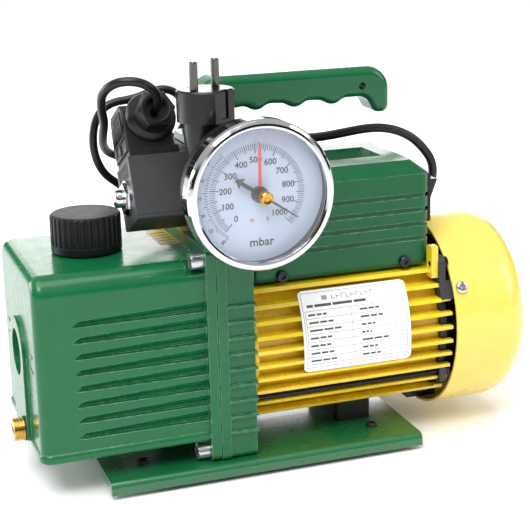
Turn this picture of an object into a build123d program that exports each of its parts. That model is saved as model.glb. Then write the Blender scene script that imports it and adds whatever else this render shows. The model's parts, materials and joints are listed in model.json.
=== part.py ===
from build123d import *
import os
from math import sin, cos, tan, radians, sqrt

os.makedirs("parts", exist_ok=True)

# Two-stage rotary vane vacuum pump with a solenoid inlet valve and a vacuum gauge.
# +X runs along the shaft from the oil casing to the fan, -Y is the gauge side, +Z is up.
# The origin lies on the floor, under the middle of the base plate.

# ---- driving dimensions, millimetres -------------------------------------------------
AXIS_Z = 72.5              # height of the shaft line

PLATE_X, PLATE_Y = 101.0, 66.0          # half length and half width of the base plate
PLATE_TOP, PLATE_LIP, SHEET = 11.0, 3.0, 2.0
BEND_R = 4.0
FOOT_X, FOOT_Y, FOOT_R = 76.0, 42.0, 10.0
FOOT_HOLE_R, FOOT_NECK_R = 2.2, 3.3

CASE_X0, CASE_X1 = -138.7, -36.6        # oil casing front and the front of its rim
CASE_Y, CASE_Z0, CASE_Z1 = 57.0, 24.6, 137.0
CASE_WALL = 4.5
RIM_X1, RIM_Y, RIM_Z0, RIM_Z1 = -30.6, 59.6, 11.6, 145.0
GASKET_X1 = -30.0
FRAME_X0, FRAME_X1, FRAME_Z0 = -30.0, -7.0, 11.0
CORNER_SCREW_Y, CORNER_SCREW_Z = 52.0, (17.0, 137.0)
GROOVE_PITCH, GROOVE_Z0, GROOVE_COUNT = 9.8, 38.2, 8
GROOVE_X0, GROOVE_DEPTH = -116.5, 3.1
RIB_Z0, RIB_COUNT, RIB_PITCH = 28.5, 9, 10.0

GLASS_Z, GLASS_R = 78.2, 14.5
PAD_R, PAD_RISE, NECK_Y = 22.0, 2.5, 21.0
DRAIN_Y, DRAIN_Z, DRAIN_R = -13.0, 33.0, 5.8
CAP_X, CAP_R, CAP_TOP = -94.0, 21.5, 161.0
CAP_THREAD_R = 15.0

ROTOR_R, BORE_R, OFFSET = 23.7, 28.0, 4.0   # vane pump rotor, stator bore, eccentricity
STATOR_R = 38.0
HV_X0, PLATE_X0, LV_X0, END_X0 = -62.0, -67.0, -85.0, -91.0
SHAFT_R, SHAFT_CLEAR = 7.95, 0.08
VANE_T, VANE_H, VANE_TIP = 5.0, 11.0, 23.5

MOTOR_X1 = 118.0
HOUSING_R, HOUSING_BORE, FIN_R = 53.0, 50.0, 61.0
FIN_T, FIN_FIRST, FIN_PITCH, FIN_ROWS = 2.2, 4.5, 8.75, 5
CORE_X0, CORE_X1, AIR_R = 28.0, 92.0, 28.5
MOTOR_SHAFT_R = 7.5
BEARING_R, BEARING_W = 17.5, 11.0
ROD_Y, ROD_Z, ROD_R = 51.0, 45.5, 1.7
LUG_Y, LUG_Z, LUG_T = 47.5, 116.5, 4.4
COVER_X0, COVER_X1, COVER_R, COVER_T = 126.2, 181.7, 63.4, 1.4
COVER_EDGE_R = 20.0
COVER_SCREW_X, COVER_SCREW_ANGLES = 131.8, (27.0, 153.0, 270.0)

BOX_X0, BOX_X1, BOX_Y, BOX_Z0 = -4.0, 117.0, 43.0, 113.2
BOX_SHOULDER, BOX_TOP, BOX_WALL, BOX_CORNER = 174.0, 182.0, 2.6, 7.0
SWITCH_Y, SWITCH_Z, SWITCH_H, SWITCH_W = -26.0, 157.0, 31.0, 24.0
ROCKER_TILT = 12.0
GLAND_Y, GLAND_Z = 20.0, 139.0
LEAD_ENTRY_Y, LEAD_ENTRY_Z = 33.0, 150.0

VALVE_X0, VALVE_X1, VALVE_Y0, VALVE_Y1, VALVE_Z1 = -32.0, -6.0, -32.0, 22.0, 198.0
COIL_Y, COIL_Z, COIL_LEAN = -14.0, 170.0, -27.0
COIL_X0, COIL_X1 = -70.5, -33.0
COIL_HALF, COIL_TOP = 17.5, 21.0            # about the armature, before the lean
DIN_GLAND_X, DIN_GLAND_UP, DIN_GLAND_REACH, DIN_GLAND_DEPTH = -52.5, 44.5, 33.0, 7.0
INTAKE_X, INTAKE_Y, INTAKE_Z = -25.0, -12.0, 99.0
PORT_X, PORT_SMALL_Z, PORT_LARGE_Z = -19.0, 187.0, 167.0
PORT_SMALL_R, PORT_LARGE_R = 5.56, 7.94     # 1/4 and 3/8 inch SAE flare threads

GAUGE_X, GAUGE_Z, GAUGE_R = -13.7, 183.0, 43.2
GAUGE_Y0, DIAL_Y, GAUGE_BACK = -100.0, -89.0, -72.0

HANDLE_TOP, HANDLE_Y, HANDLE_X0, HANDLE_X1 = 238.4, 13.0, -24.0, 102.6


# ---- helpers --------------------------------------------------------------------------
def box(x0, x1, y0, y1, z0, z1):
    return Pos((x0 + x1) / 2, (y0 + y1) / 2, (z0 + z1) / 2) * Box(x1 - x0, y1 - y0, z1 - z0)


def cyl_x(r, x0, x1, y=0.0, z=AXIS_Z):
    return Pos((x0 + x1) / 2, y, z) * Rot(0, 90, 0) * Cylinder(r, x1 - x0)


def cyl_y(r, y0, y1, x, z):
    return Pos(x, (y0 + y1) / 2, z) * Rot(90, 0, 0) * Cylinder(r, y1 - y0)


def cyl_z(r, z0, z1, x, y):
    return Pos(x, y, (z0 + z1) / 2) * Cylinder(r, z1 - z0)


def ring_x(r_out, r_in, x0, x1, y=0.0, z=AXIS_Z):
    return cyl_x(r_out, x0, x1, y, z) - cyl_x(r_in, x0 - 1, x1 + 1, y, z)


def prism(sketch_points, plane, length):
    """Closed polygon on a plane, pushed along the plane's normal."""
    return extrude(plane * make_face(Polyline(*sketch_points, close=True)), length)


def edges_along(part, axis, at_axis, last):
    return part.edges().filter_by(axis).group_by(at_axis)[-1 if last else 0]


def turn(part, axis_pos, angle):
    """Turn about a line along X through axis_pos = (y, z)."""
    y, z = axis_pos
    return Pos(0, y, z) * Rot(angle, 0, 0) * Pos(0, -y, -z) * part


def cap_screw(head_r, head_h, shank_r, length):
    """Socket head screw along -Z with the underside of its head at z = 0."""
    head = chamfer(Cylinder(head_r, head_h).edges().filter_by(GeomType.CIRCLE).group_by(Axis.Z)[-1], 0.5)
    head = Pos(0, 0, head_h / 2) * head
    socket = Pos(0, 0, head_h) * extrude(RegularPolygon(head_r * 0.52, 6), -head_h * 0.55)
    shank = Pos(0, 0, -length / 2 + 0.01) * Cylinder(shank_r, length)
    return head + shank - socket


def pan_screw(head_r, head_h, shank_r, length):
    """Cross recess pan head screw along -Z with the underside of its head at z = 0."""
    head = Pos(0, 0, head_h / 2) * Cylinder(head_r, head_h)
    head = fillet(head.edges().filter_by(GeomType.CIRCLE).group_by(Axis.Z)[-1], head_h * 0.7)
    cross = box(-head_r * 0.6, head_r * 0.6, -0.45, 0.45, head_h * 0.45, head_h + 1)
    cross += box(-0.45, 0.45, -head_r * 0.6, head_r * 0.6, head_h * 0.45, head_h + 1)
    return head + Pos(0, 0, -length / 2 + 0.01) * Cylinder(shank_r, length) - cross


FACING = {"-x": Rot(0, -90, 0), "+x": Rot(0, 90, 0), "-y": Rot(90, 0, 0),
          "+y": Rot(-90, 0, 0), "+z": Rot(0, 0, 0), "-z": Rot(180, 0, 0)}


def place(screw, facing, x, y, z):
    """Put a screw so that its head faces the named way."""
    return Pos(x, y, z) * FACING[facing] * screw


nodes = {}


def add(name, *solids):
    nodes[name] = solids[0] if len(solids) == 1 else Compound(children=[s for s in solids])


# ---- base plate, feet and motor support ------------------------------------------------
FRAME_BOLT_X, FRAME_BOLT_Y = -18.5, 40.0
SADDLE_X0, SADDLE_X1, SADDLE_Y = 58.0, 82.0, 27.0
SADDLE_SCREWS = ((70.0, -20.0), (70.0, 20.0))


def base_plate():
    plate = box(-PLATE_X, PLATE_X, -PLATE_Y, PLATE_Y, PLATE_LIP, PLATE_TOP)
    plate = fillet(edges_along(plate, Axis.X, Axis.Z, True), BEND_R)
    inner_y = PLATE_Y - SHEET
    hollow = box(-PLATE_X - 1, PLATE_X + 1, -inner_y, inner_y, PLATE_LIP - 1, PLATE_TOP - SHEET)
    hollow = fillet(edges_along(hollow, Axis.X, Axis.Z, True), BEND_R - SHEET)
    plate -= hollow
    for sx in (-1, 1):
        for sy in (-1, 1):
            plate -= cyl_z(FOOT_NECK_R + 0.1, 0, 20, sx * FOOT_X, sy * FOOT_Y)
    for sy in (-1, 1):
        plate -= cyl_z(2.7, 0, 20, FRAME_BOLT_X, sy * FRAME_BOLT_Y)
    for x, y in SADDLE_SCREWS:
        plate -= cyl_z(1.8, 0, 20, x, y)
    return plate


def rubber_foot():
    """Push-in foot: a buffer below the sheet, a neck in its hole and a bulb above it."""
    bulb_r, sheet_under = 3.9, PLATE_TOP - SHEET
    profile = Polyline((FOOT_HOLE_R, 0), (FOOT_R - 1.5, 0), (FOOT_R, 1.5), (FOOT_R - 0.6, sheet_under),
                       (FOOT_NECK_R, sheet_under), (FOOT_NECK_R, PLATE_TOP), (bulb_r, PLATE_TOP),
                       (bulb_r - 0.4, PLATE_TOP + 1.7), (bulb_r - 1.4, PLATE_TOP + 2.4),
                       (FOOT_HOLE_R, PLATE_TOP + 2.4), close=True)
    return revolve(make_face(Plane.XZ * profile), Axis.Z)


def motor_support():
    block = box(SADDLE_X0, SADDLE_X1, -SADDLE_Y, SADDLE_Y, PLATE_TOP, PLATE_TOP + 16)
    block = fillet(block.edges().filter_by(Axis.Z), 3)
    block -= cyl_x(HOUSING_R + 0.1, SADDLE_X0 - 20, SADDLE_X1 + 20)
    for x, y in SADDLE_SCREWS:
        block -= cyl_z(1.75, 0, PLATE_TOP + 6, x, y)
    return block


add("base_plate", base_plate())
add("rubber_feet", *[Pos(sx * FOOT_X, sy * FOOT_Y, 0) * rubber_foot() for sx in (-1, 1) for sy in (-1, 1)])
add("motor_support", motor_support())


# ---- oil casing --------------------------------------------------------------------------
def soft_block(x0, x1, half_y, z0, z1, r_top, r_bottom):
    block = box(x0, x1, -half_y, half_y, z0, z1)
    block = fillet(edges_along(block, Axis.X, Axis.Z, True), r_top)
    return fillet(edges_along(block, Axis.X, Axis.Z, False), r_bottom)


def groove_section(x, z, side, depth, height):
    """Groove profile: a flat ledge at its foot, then a back that slopes out to the surface."""
    shape = [(CASE_Y + 0.5, z), (CASE_Y - depth, z + 0.3), (CASE_Y - depth, z + 0.3 * height),
             (CASE_Y, z + height), (CASE_Y + 0.5, z + height)]
    points = [(side * y, h) for y, h in shape]
    return Plane.YZ.offset(x) * make_face(Polyline(*points, close=True))


def casing_groove(z, side):
    """Side groove: pointed at its front end, wider and deeper towards the rim."""
    sections = [groove_section(GROOVE_X0, z, side, 0.4, 1.2),
                groove_section(GROOVE_X0 + 4, z, side, 0.85 * GROOVE_DEPTH, 3.8),
                groove_section(CASE_X1, z, side, GROOVE_DEPTH, 6.6)]
    return loft(sections, ruled=True)


def casing_cavity(x1):
    cavity = soft_block(CASE_X0 + CASE_WALL, x1, CASE_Y - CASE_WALL, CASE_Z0 + CASE_WALL,
                        CASE_Z1 - CASE_WALL, 8, 4)
    for sy in (-1, 1):
        cavity -= cyl_x(10.5, CASE_X1 - 15, x1 + 1, sy * CORNER_SCREW_Y, CORNER_SCREW_Z[1])
    return cavity


def rim_block(x0, x1, inset=0.0):
    block = box(x0, x1, -RIM_Y + inset, RIM_Y - inset, RIM_Z0 + inset, RIM_Z1 - inset)
    return fillet(block.edges().filter_by(Axis.X), 4)


def oil_casing():
    body = soft_block(CASE_X0, CASE_X1 + 1, CASE_Y, CASE_Z0, CASE_Z1, 12, 8)
    body = fillet(body.faces().sort_by(Axis.X)[0].edges(), 6.5)
    bead = box(CASE_X0 - 1.1, CASE_X1, -CASE_Y - 1.1, CASE_Y + 1.1, CASE_Z0, CASE_Z0 + 6.5)
    bead = fillet(edges_along(bead, Axis.Z, Axis.X, False), 7.5)
    bead = fillet(bead.faces().sort_by(Axis.Z)[0].edges() + bead.faces().sort_by(Axis.Z)[-1].edges(), 2.6)
    body = body + bead + rim_block(CASE_X1, RIM_X1)
    pad = cyl_x(PAD_R, CASE_X0 - PAD_RISE, CASE_X0 + 1, 0, GLASS_Z)
    pad += box(CASE_X0 - PAD_RISE, CASE_X0 + 1, -NECK_Y, NECK_Y, CASE_Z0 + 3, GLASS_Z)
    body += pad
    for sy in (-1, 1):
        for k in range(GROOVE_COUNT):
            body -= casing_groove(GROOVE_Z0 + GROOVE_PITCH * k, sy)
        notch = cyl_x(7.4, CASE_X1 - 11, CASE_X1, sy * CORNER_SCREW_Y, CORNER_SCREW_Z[1])
        notch += box(CASE_X1 - 11, CASE_X1, sy * 55 - 10.4, sy * 55 + 10.4, 137, 150)
        notch += box(CASE_X1 - 11, CASE_X1, sy * 61 - 9, sy * 61 + 9, 129.6, 150)
        body -= notch
        for mark_z in (GLASS_Z, GLASS_Z + 9):
            body += box(CASE_X0 - 0.5, CASE_X0 + 1, sy * 39 - 4, sy * 39 + 4, mark_z - 0.7, mark_z + 0.7)
    body -= casing_cavity(RIM_X1 + 1)
    body -= cyl_x(GLASS_R, CASE_X0 - 5, CASE_X0 + 9, 0, GLASS_Z)
    body -= cyl_x(DRAIN_R + 0.1, CASE_X0 - 5, CASE_X0 + 9, DRAIN_Y, DRAIN_Z)
    body -= cyl_z(CAP_THREAD_R + 0.3, CASE_Z1 - 9, CASE_Z1 + 1, CAP_X, 0)
    for sy in (-1, 1):
        for z in CORNER_SCREW_Z:
            body -= cyl_x(3.1, CASE_X1 - 1, RIM_X1 + 1, sy * CORNER_SCREW_Y, z)
    return body


def static_seals():
    gasket = rim_block(RIM_X1, GASKET_X1, 0.4) - casing_cavity(GASKET_X1 + 1)
    for sy in (-1, 1):
        for z in CORNER_SCREW_Z:
            gasket -= cyl_x(3.1, RIM_X1 - 1, 0, sy * CORNER_SCREW_Y, z)
    shaft_seal = ring_x(14.0, SHAFT_R + 0.05, -25.0, -18.0)
    return gasket, shaft_seal


def drain_plug():
    seat, head_r, head = CASE_X0 - PAD_RISE - 0.8, 7.2, 6.6
    plug = cyl_x(head_r, seat - head, seat, DRAIN_Y, DRAIN_Z)
    for k in range(3):
        x = seat - 1.6 - 1.7 * k
        plug -= ring_x(9, head_r - 0.7, x - 0.4, x + 0.4, DRAIN_Y, DRAIN_Z)
    plug += cyl_x(DRAIN_R, seat - 1, CASE_X0 + 6, DRAIN_Y, DRAIN_Z)
    slot = box(seat - head - 1, seat - head + 1.8, DRAIN_Y - 6, DRAIN_Y + 6, DRAIN_Z - 0.9, DRAIN_Z + 0.9)
    return plug - slot


def filler_cap():
    """Fluted cap: domed top, plain skirt and a hollow screwed boss below."""
    skirt_z, underside = CASE_Z1 + 5.5, CASE_Z1 + 0.4
    cap = cyl_z(CAP_R, underside, CAP_TOP, CAP_X, 0)
    cap = fillet(cap.edges().filter_by(GeomType.CIRCLE).group_by(Axis.Z)[-1], 2.2)
    cap = fillet(cap.edges().filter_by(GeomType.CIRCLE).group_by(Axis.Z)[0], 1.2)
    flutes = 32
    for k in range(flutes):
        a = 360.0 / flutes * k
        groove = cyl_z(1.5, skirt_z, CAP_TOP + 1, CAP_R + 0.55, 0)
        cap -= Pos(CAP_X, 0, 0) * Rot(0, 0, a) * groove
    cap += cyl_z(CAP_THREAD_R, CASE_Z1 - 12, CASE_Z1 + 3, CAP_X, 0)
    cap -= cyl_z(CAP_THREAD_R - 2.5, CASE_Z1 - 13, CASE_Z1 + 6, CAP_X, 0)
    cap -= cyl_z(CAP_R - 3, underside - 1, CASE_Z1 + 4, CAP_X, 0) - \
        cyl_z(CAP_THREAD_R + 3.2, underside - 2, CASE_Z1 + 5, CAP_X, 0)
    seat = cyl_z(CAP_THREAD_R + 3.2, underside - 1, CASE_Z1 + 2, CAP_X, 0)
    return cap - (seat - cyl_z(CAP_THREAD_R, underside - 2, CASE_Z1 + 3, CAP_X, 0))


add("oil_casing", oil_casing())
add("static_seals", *static_seals())
add("sight_glass", cyl_x(GLASS_R - 0.1, CASE_X0 + 0.8, CASE_X0 + 3.8, 0, GLASS_Z))
add("drain_plug", drain_plug())
add("drain_seal", ring_x(7.6, DRAIN_R + 0.15, CASE_X0 - PAD_RISE - 0.8, CASE_X0 - PAD_RISE, DRAIN_Y, DRAIN_Z))
add("filler_cap", filler_cap())
add("filler_cap_seal", cyl_z(CAP_THREAD_R + 2.9, CASE_Z1, CASE_Z1 + 1.9, CAP_X, 0)
    - cyl_z(CAP_THREAD_R + 0.2, CASE_Z1 - 1, CASE_Z1 + 3, CAP_X, 0))
add("mist_filter", cyl_z(11.5, 112, CASE_Z1 - 2, CAP_X, 0) - cyl_z(7.0, 115, CASE_Z1, CAP_X, 0))


# ---- pump frame -----------------------------------------------------------------------------
def pump_frame():
    flange = box(FRAME_X0, FRAME_X0 + 6, -RIM_Y, RIM_Y, FRAME_Z0, RIM_Z1)
    barrel = box(FRAME_X0 + 5, FRAME_X1, -RIM_Y + 1.2, RIM_Y - 1.2, FRAME_Z0, RIM_Z1)
    frame = fillet(flange.edges().filter_by(Axis.X), 3.5) + fillet(barrel.edges().filter_by(Axis.X), 3.5)
    for sy in (-1, 1):
        for k in range(RIB_COUNT):
            z = RIB_Z0 + RIB_PITCH * k
            y = sy * (RIM_Y - 0.6)
            frame += box(FRAME_X0 + 6, FRAME_X1 + 0.8, y - 1.6, y + 1.6, z - 0.7, z + 0.7)
    frame -= cyl_x(47.0, -18.0, 0)
    frame -= cyl_x(14.0, -25.0, -10)
    frame -= cyl_x(SHAFT_R + SHAFT_CLEAR, -40, 0)
    for sy in (-1, 1):
        for z in CORNER_SCREW_Z:
            frame -= cyl_x(2.95, -31, -14, sy * CORNER_SCREW_Y, z)
        frame -= cyl_z(2.45, 5, 26, FRAME_BOLT_X, sy * FRAME_BOLT_Y)
        frame -= cyl_x(ROD_R + 0.05, -14, 0, sy * ROD_Y, ROD_Z)
    for y, z in stator_screw_places():
        frame -= cyl_x(2.55, -31, -22, y, z)
    frame -= cyl_z(4.0, INTAKE_Z - 3, RIM_Z1 + 1, INTAKE_X, INTAKE_Y)
    frame -= cyl_x(3.5, FRAME_X0 - 1, INTAKE_X, INTAKE_Y, INTAKE_Z)
    return frame


def stator_screw_places():
    centre_z, pitch_r = AXIS_Z - OFFSET, 33.0
    return [(pitch_r * cos(radians(a)), centre_z + pitch_r * sin(radians(a))) for a in (45, 135, 225, 315)]


add("pump_frame", pump_frame())


# ---- vane pump -------------------------------------------------------------------------------
def stator_block():
    """High vacuum ring, middle plate, low vacuum ring and end plate, in that order."""
    centre_z = AXIS_Z - OFFSET
    spans = ((HV_X0, FRAME_X0, BORE_R), (PLATE_X0, HV_X0, 0), (LV_X0, PLATE_X0, BORE_R), (END_X0, LV_X0, 0))
    pieces = []
    for x0, x1, bore in spans:
        piece = cyl_x(STATOR_R, x0, x1, 0, centre_z)
        if bore:
            piece -= cyl_x(bore, x0 - 1, x1 + 1, 0, centre_z)
            port_x = (x0 + x1) / 2
            piece -= cyl_z(3.0, 90, 110, port_x, 14)
        else:
            piece -= cyl_x(SHAFT_R + SHAFT_CLEAR, x0 - 1, x1 + 1)
        for y, z in stator_screw_places():
            piece -= cyl_x(2.6, x0 - 1, x1 + 1, y, z)
        pieces.append(piece)
    pieces[0] -= cyl_x(3.5, HV_X0 + 22, FRAME_X0 + 1, INTAKE_Y, INTAKE_Z)
    pieces[0] -= cyl_z(3.0, INTAKE_Z - 10, INTAKE_Z, HV_X0 + 24, INTAKE_Y)
    return pieces


def slotted_rotor(x0, x1):
    rotor = cyl_x(ROTOR_R, x0, x1) - cyl_x(SHAFT_R, x0 - 1, x1 + 1)
    for sy in (-1, 1):
        y0, y1 = sorted((sy * 9.4, sy * (ROTOR_R + 2)))
        rotor -= box(x0 - 1, x1 + 1, y0, y1, AXIS_Z - VANE_T / 2, AXIS_Z + VANE_T / 2)
    return rotor


def vane(x0, x1, side):
    y0, y1 = sorted((side * (VANE_TIP - VANE_H), side * VANE_TIP))
    half = VANE_T / 2 - 0.05
    blade = box(x0, x1, y0, y1, AXIS_Z - half, AXIS_Z + half)
    tip = blade.edges().filter_by(Axis.X).group_by(Axis.Y)[-1 if side > 0 else 0]
    return fillet(tip, 2.0)


def leaf_spring(x0, x1, side):
    """Bowed strip between the bottom of a slot and the vane in it."""
    y_in, y_out = side * 9.6, side * (VANE_TIP - VANE_H - 0.2)
    mid, half = (x0 + x1) / 2, (x1 - x0) / 2 - 1
    edge = y_out - side * 0.5
    bow = ThreePointArc((mid - half, edge), (mid, y_in + side * 0.1), (mid + half, edge))
    back = ThreePointArc((mid + half, y_out), (mid, y_in + side * 0.6), (mid - half, y_out))
    face = make_face([bow, Line(bow @ 1, back @ 0), back, Line(back @ 1, bow @ 0)])
    return Pos(0, 0, AXIS_Z - 2) * extrude(face, 4)


HV_SPAN, LV_SPAN = (HV_X0 + 0.2, FRAME_X0 - 0.2), (LV_X0 + 0.2, PLATE_X0 - 0.2)


def exhaust_valve():
    """Reed and stop on a small seat over the outlet port of the low vacuum ring."""
    x = (LV_X0 + PLATE_X0) / 2
    seat = box(x - 7, x + 7, 6, 22, 103, 110) - cyl_x(STATOR_R, x - 9, x + 9, 0, AXIS_Z - OFFSET)
    seat -= cyl_z(3.0, 95, 115, x, 14)
    reed = box(x - 5, x + 5, 7, 21, 110, 110.4)
    stop = box(x - 5, x + 5, 7, 21, 110.4, 112)
    return seat, reed + stop


add("stator_block", *stator_block())
add("pump_rotors", slotted_rotor(*HV_SPAN), slotted_rotor(*LV_SPAN))
coupling_hub = ring_x(17.0, SHAFT_R, -17.8, -9.0) + cyl_x(SHAFT_R, -17.0, -9.0)
add("pump_shaft", cyl_x(SHAFT_R, END_X0 + 0.5, -17.0), coupling_hub)
add("hv_vane_front", vane(HV_SPAN[0] + 0.1, HV_SPAN[1] - 0.1, -1))
add("hv_vane_rear", vane(HV_SPAN[0] + 0.1, HV_SPAN[1] - 0.1, 1))
add("lv_vane_front", vane(LV_SPAN[0] + 0.1, LV_SPAN[1] - 0.1, -1))
add("lv_vane_rear", vane(LV_SPAN[0] + 0.1, LV_SPAN[1] - 0.1, 1))
add("vane_springs", *[leaf_spring(*span, side) for span in (HV_SPAN, LV_SPAN) for side in (-1, 1)])
add("exhaust_valve", *exhaust_valve())


# ---- motor ---------------------------------------------------------------------------------------
COUPLING_R, SPIDER_X0, SPIDER_X1 = 17.0, -9.0, -3.0


def coupling_spider():
    spider = cyl_x(COUPLING_R, SPIDER_X0, SPIDER_X1)
    for k in range(6):
        a = radians(60 * k)
        spider -= cyl_x(3.0, SPIDER_X0 - 1, SPIDER_X1 + 1, 16 * sin(a), AXIS_Z + 16 * cos(a))
    return spider


def fin_levels():
    return [sign * (FIN_FIRST + FIN_PITCH * k) for k in range(FIN_ROWS) for sign in (-1, 1)]


def motor_housing():
    housing = cyl_x(HOUSING_R, FRAME_X1 + 1, MOTOR_X1)
    fins = None
    for dz in fin_levels():
        fin = box(FRAME_X1 + 1, MOTOR_X1, -70, 70, AXIS_Z + dz - FIN_T / 2, AXIS_Z + dz + FIN_T / 2)
        fins = fin if fins is None else fins + fin
    fins = fins & cyl_x(FIN_R, FRAME_X1, MOTOR_X1 + 1)
    housing += fins
    housing += cyl_x(57.0, FRAME_X1, BOX_X0 - 0.1)
    for sy in (-1, 1):
        y0, y1 = sorted((sy * 43.6, sy * 51.4))
        lug = box(MOTOR_X1 - LUG_T, MOTOR_X1, y0, y1, 108, 128.5)
        housing += fillet(lug.edges().filter_by(Axis.X).group_by(Axis.Z)[-1], 2)
    housing -= cyl_x(HOUSING_BORE, FRAME_X1 - 1, MOTOR_X1 + 1)
    for sy in (-1, 1):
        housing -= cyl_x(2.05, MOTOR_X1 - 11, MOTOR_X1 + 1, sy * LUG_Y, LUG_Z)
        housing -= cyl_x(ROD_R + 0.2, FRAME_X1 - 1, FRAME_X1 + 6, sy * ROD_Y, ROD_Z)
    return housing


def stator_core():
    core = ring_x(HOUSING_BORE - 0.05, AIR_R, CORE_X0, CORE_X1)
    slots = 24
    for k in range(slots):
        a = radians(360.0 / slots * k)
        core -= cyl_x(2.9, CORE_X0 - 1, CORE_X1 + 1, 35 * sin(a), AXIS_Z + 35 * cos(a))
    return core


def winding(x0, x1):
    coil = ring_x(45.0, 31.0, x0, x1)
    return fillet(coil.edges().filter_by(GeomType.CIRCLE), 4)


def bearing(x0):
    x1 = x0 + BEARING_W
    ring = ring_x(BEARING_R, MOTOR_SHAFT_R + 0.02, x0, x1)
    for x in (x0, x1):
        ring -= ring_x(14.2, 10.6, x - 0.8, x + 0.8)
    return ring


FRONT_BEARING_X, REAR_BEARING_X = 9.0, 107.0


def front_shield():
    shield = cyl_x(HOUSING_BORE - 0.05, 8, 13) + cyl_x(23, 8, 21)
    shield -= cyl_x(BEARING_R, FRONT_BEARING_X, 30)
    shield -= cyl_x(10, 0, 30)
    for k in range(6):
        a = radians(60 * k)
        shield -= cyl_x(7, 0, 30, 36 * sin(a), AXIS_Z + 36 * cos(a))
    return shield


def rear_shield():
    """End shield with bearing hub, ears for the rods and screws, and posts for the cover."""
    hub_x1 = REAR_BEARING_X + BEARING_W
    shield = cyl_x(56.0, MOTOR_X1, MOTOR_X1 + 4.5) + cyl_x(HOUSING_BORE - 0.1, MOTOR_X1 - 5, MOTOR_X1 + 1)
    shield -= cyl_x(46.0, MOTOR_X1 - 6, MOTOR_X1 + 1.5)
    shield += cyl_x(23, REAR_BEARING_X - 1, hub_x1 + 3)
    for sy in (-1, 1):
        ear = box(MOTOR_X1, MOTOR_X1 + 4.5, sy * 46 - 7, sy * 46 + 7, 98, 121)
        shield += fillet(ear.edges().filter_by(Axis.X).group_by(Axis.Z)[-1], 5)
        shield += box(MOTOR_X1, MOTOR_X1 + 4.5, sy * 49 - 6, sy * 49 + 6, ROD_Z - 6, ROD_Z + 6)
    for a in COVER_SCREW_ANGLES:
        post = box(MOTOR_X1 + 1, 139, 54.5, 61.4, AXIS_Z - 6, AXIS_Z + 6)
        post += box(MOTOR_X1, MOTOR_X1 + 6, 44, 61.4, AXIS_Z - 6, AXIS_Z + 6)
        post -= cyl_y(1.95, 50, 64, COVER_SCREW_X, AXIS_Z)
        shield += turn(post, (0, AXIS_Z), a)
    shield -= cyl_x(BEARING_R, REAR_BEARING_X - 2, hub_x1)
    shield -= cyl_x(10, 90, 130)
    for sy in (-1, 1):
        shield -= cyl_x(2.2, 110, 130, sy * LUG_Y, LUG_Z)
        shield -= cyl_x(ROD_R + 0.2, 110, 130, sy * ROD_Y, ROD_Z)
    return shield


def tie_rod(sy):
    rod = cyl_x(ROD_R, -13, MOTOR_X1 + 5, sy * ROD_Y, ROD_Z)
    nut = Pos(MOTOR_X1 + 4.5, sy * ROD_Y, ROD_Z) * Rot(0, 90, 0) * extrude(RegularPolygon(4.2, 6), 3.4)
    return rod + nut


def cooling_fan():
    x0, x1, blades = 132.0, 150.0, 8
    fan = cyl_x(14, x0, x1 + 1) + cyl_x(40, x0, x0 + 2)
    blade = box(x0, x1, 10, 50, AXIS_Z - 1, AXIS_Z + 1)
    for k in range(blades):
        fan += turn(blade, (0, AXIS_Z), 360.0 / blades * k)
    return fan - cyl_x(MOTOR_SHAFT_R - 0.5, x0 - 1, x1 + 2)


def fan_cover():
    """Deep drawn cover: a tube with a large rounded back, pierced by rings of air holes."""
    def drum(r, x1, edge):
        solid = cyl_x(r, COVER_X0, x1)
        return fillet(solid.edges().filter_by(GeomType.CIRCLE).group_by(Axis.X)[-1], edge)

    cover = drum(COVER_R, COVER_X1, COVER_EDGE_R)
    cover -= Pos(-0.001, 0, 0) * drum(COVER_R - COVER_T, COVER_X1 - COVER_T, COVER_EDGE_R - COVER_T)
    air = [(0, 1), (11, 6), (22, 12), (33, 18)]
    for ring_r, count in air:
        for k in range(count):
            a = radians(360.0 / count * k)
            cover -= cyl_x(3.4, COVER_X1 - 12, COVER_X1 + 1, ring_r * sin(a), AXIS_Z + ring_r * cos(a))
    for a in COVER_SCREW_ANGLES:
        hole = cyl_y(2.1, 60, 66, COVER_SCREW_X, AXIS_Z)
        cover -= turn(hole, (0, AXIS_Z), a)
    return cover


def cover_screws():
    screw = pan_screw(4.0, 2.6, 1.9, 9.0)
    placed = place(screw, "+y", COVER_SCREW_X, COVER_R + 0.05, AXIS_Z)
    return [turn(placed, (0, AXIS_Z), a) for a in COVER_SCREW_ANGLES]


add("coupling_spider", coupling_spider())
add("motor_housing", motor_housing())
add("stator_core", stator_core())
add("stator_windings", winding(CORE_X0 - 9, CORE_X0), winding(CORE_X1, CORE_X1 + 9))
add("motor_rotor", ring_x(AIR_R - 0.5, MOTOR_SHAFT_R, CORE_X0, CORE_X1))
add("motor_shaft", cyl_x(MOTOR_SHAFT_R, SPIDER_X1, 130) + cyl_x(MOTOR_SHAFT_R - 0.5, 130, 151),
    ring_x(COUPLING_R, MOTOR_SHAFT_R, SPIDER_X1, 6.0))
add("bearings", bearing(FRONT_BEARING_X), bearing(REAR_BEARING_X))
add("end_shields", front_shield(), rear_shield())
add("tie_rods", tie_rod(-1), tie_rod(1))
add("cooling_fan", cooling_fan())
add("fan_cover", fan_cover())
add("fan_cover_screws", *cover_screws())


# ---- terminal box and switch --------------------------------------------------------------------
BOX_SCREWS = ((16.3, 118.8), (98.4, 118.8))


def box_outline(inset, z0, z1):
    block = box(BOX_X0 + inset, BOX_X1 - inset, -BOX_Y + inset, BOX_Y - inset, z0, z1)
    return fillet(block.edges().filter_by(Axis.Z), max(BOX_CORNER - inset, 1.0))


def frustum(low, high):
    """Loft between two level rectangles, each (x0, x1, half_y, z)."""
    faces = []
    for x0, x1, half_y, z in (low, high):
        faces.append(Pos((x0 + x1) / 2, 0, z) * Rectangle(x1 - x0, 2 * half_y))
    return loft(faces)


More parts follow.
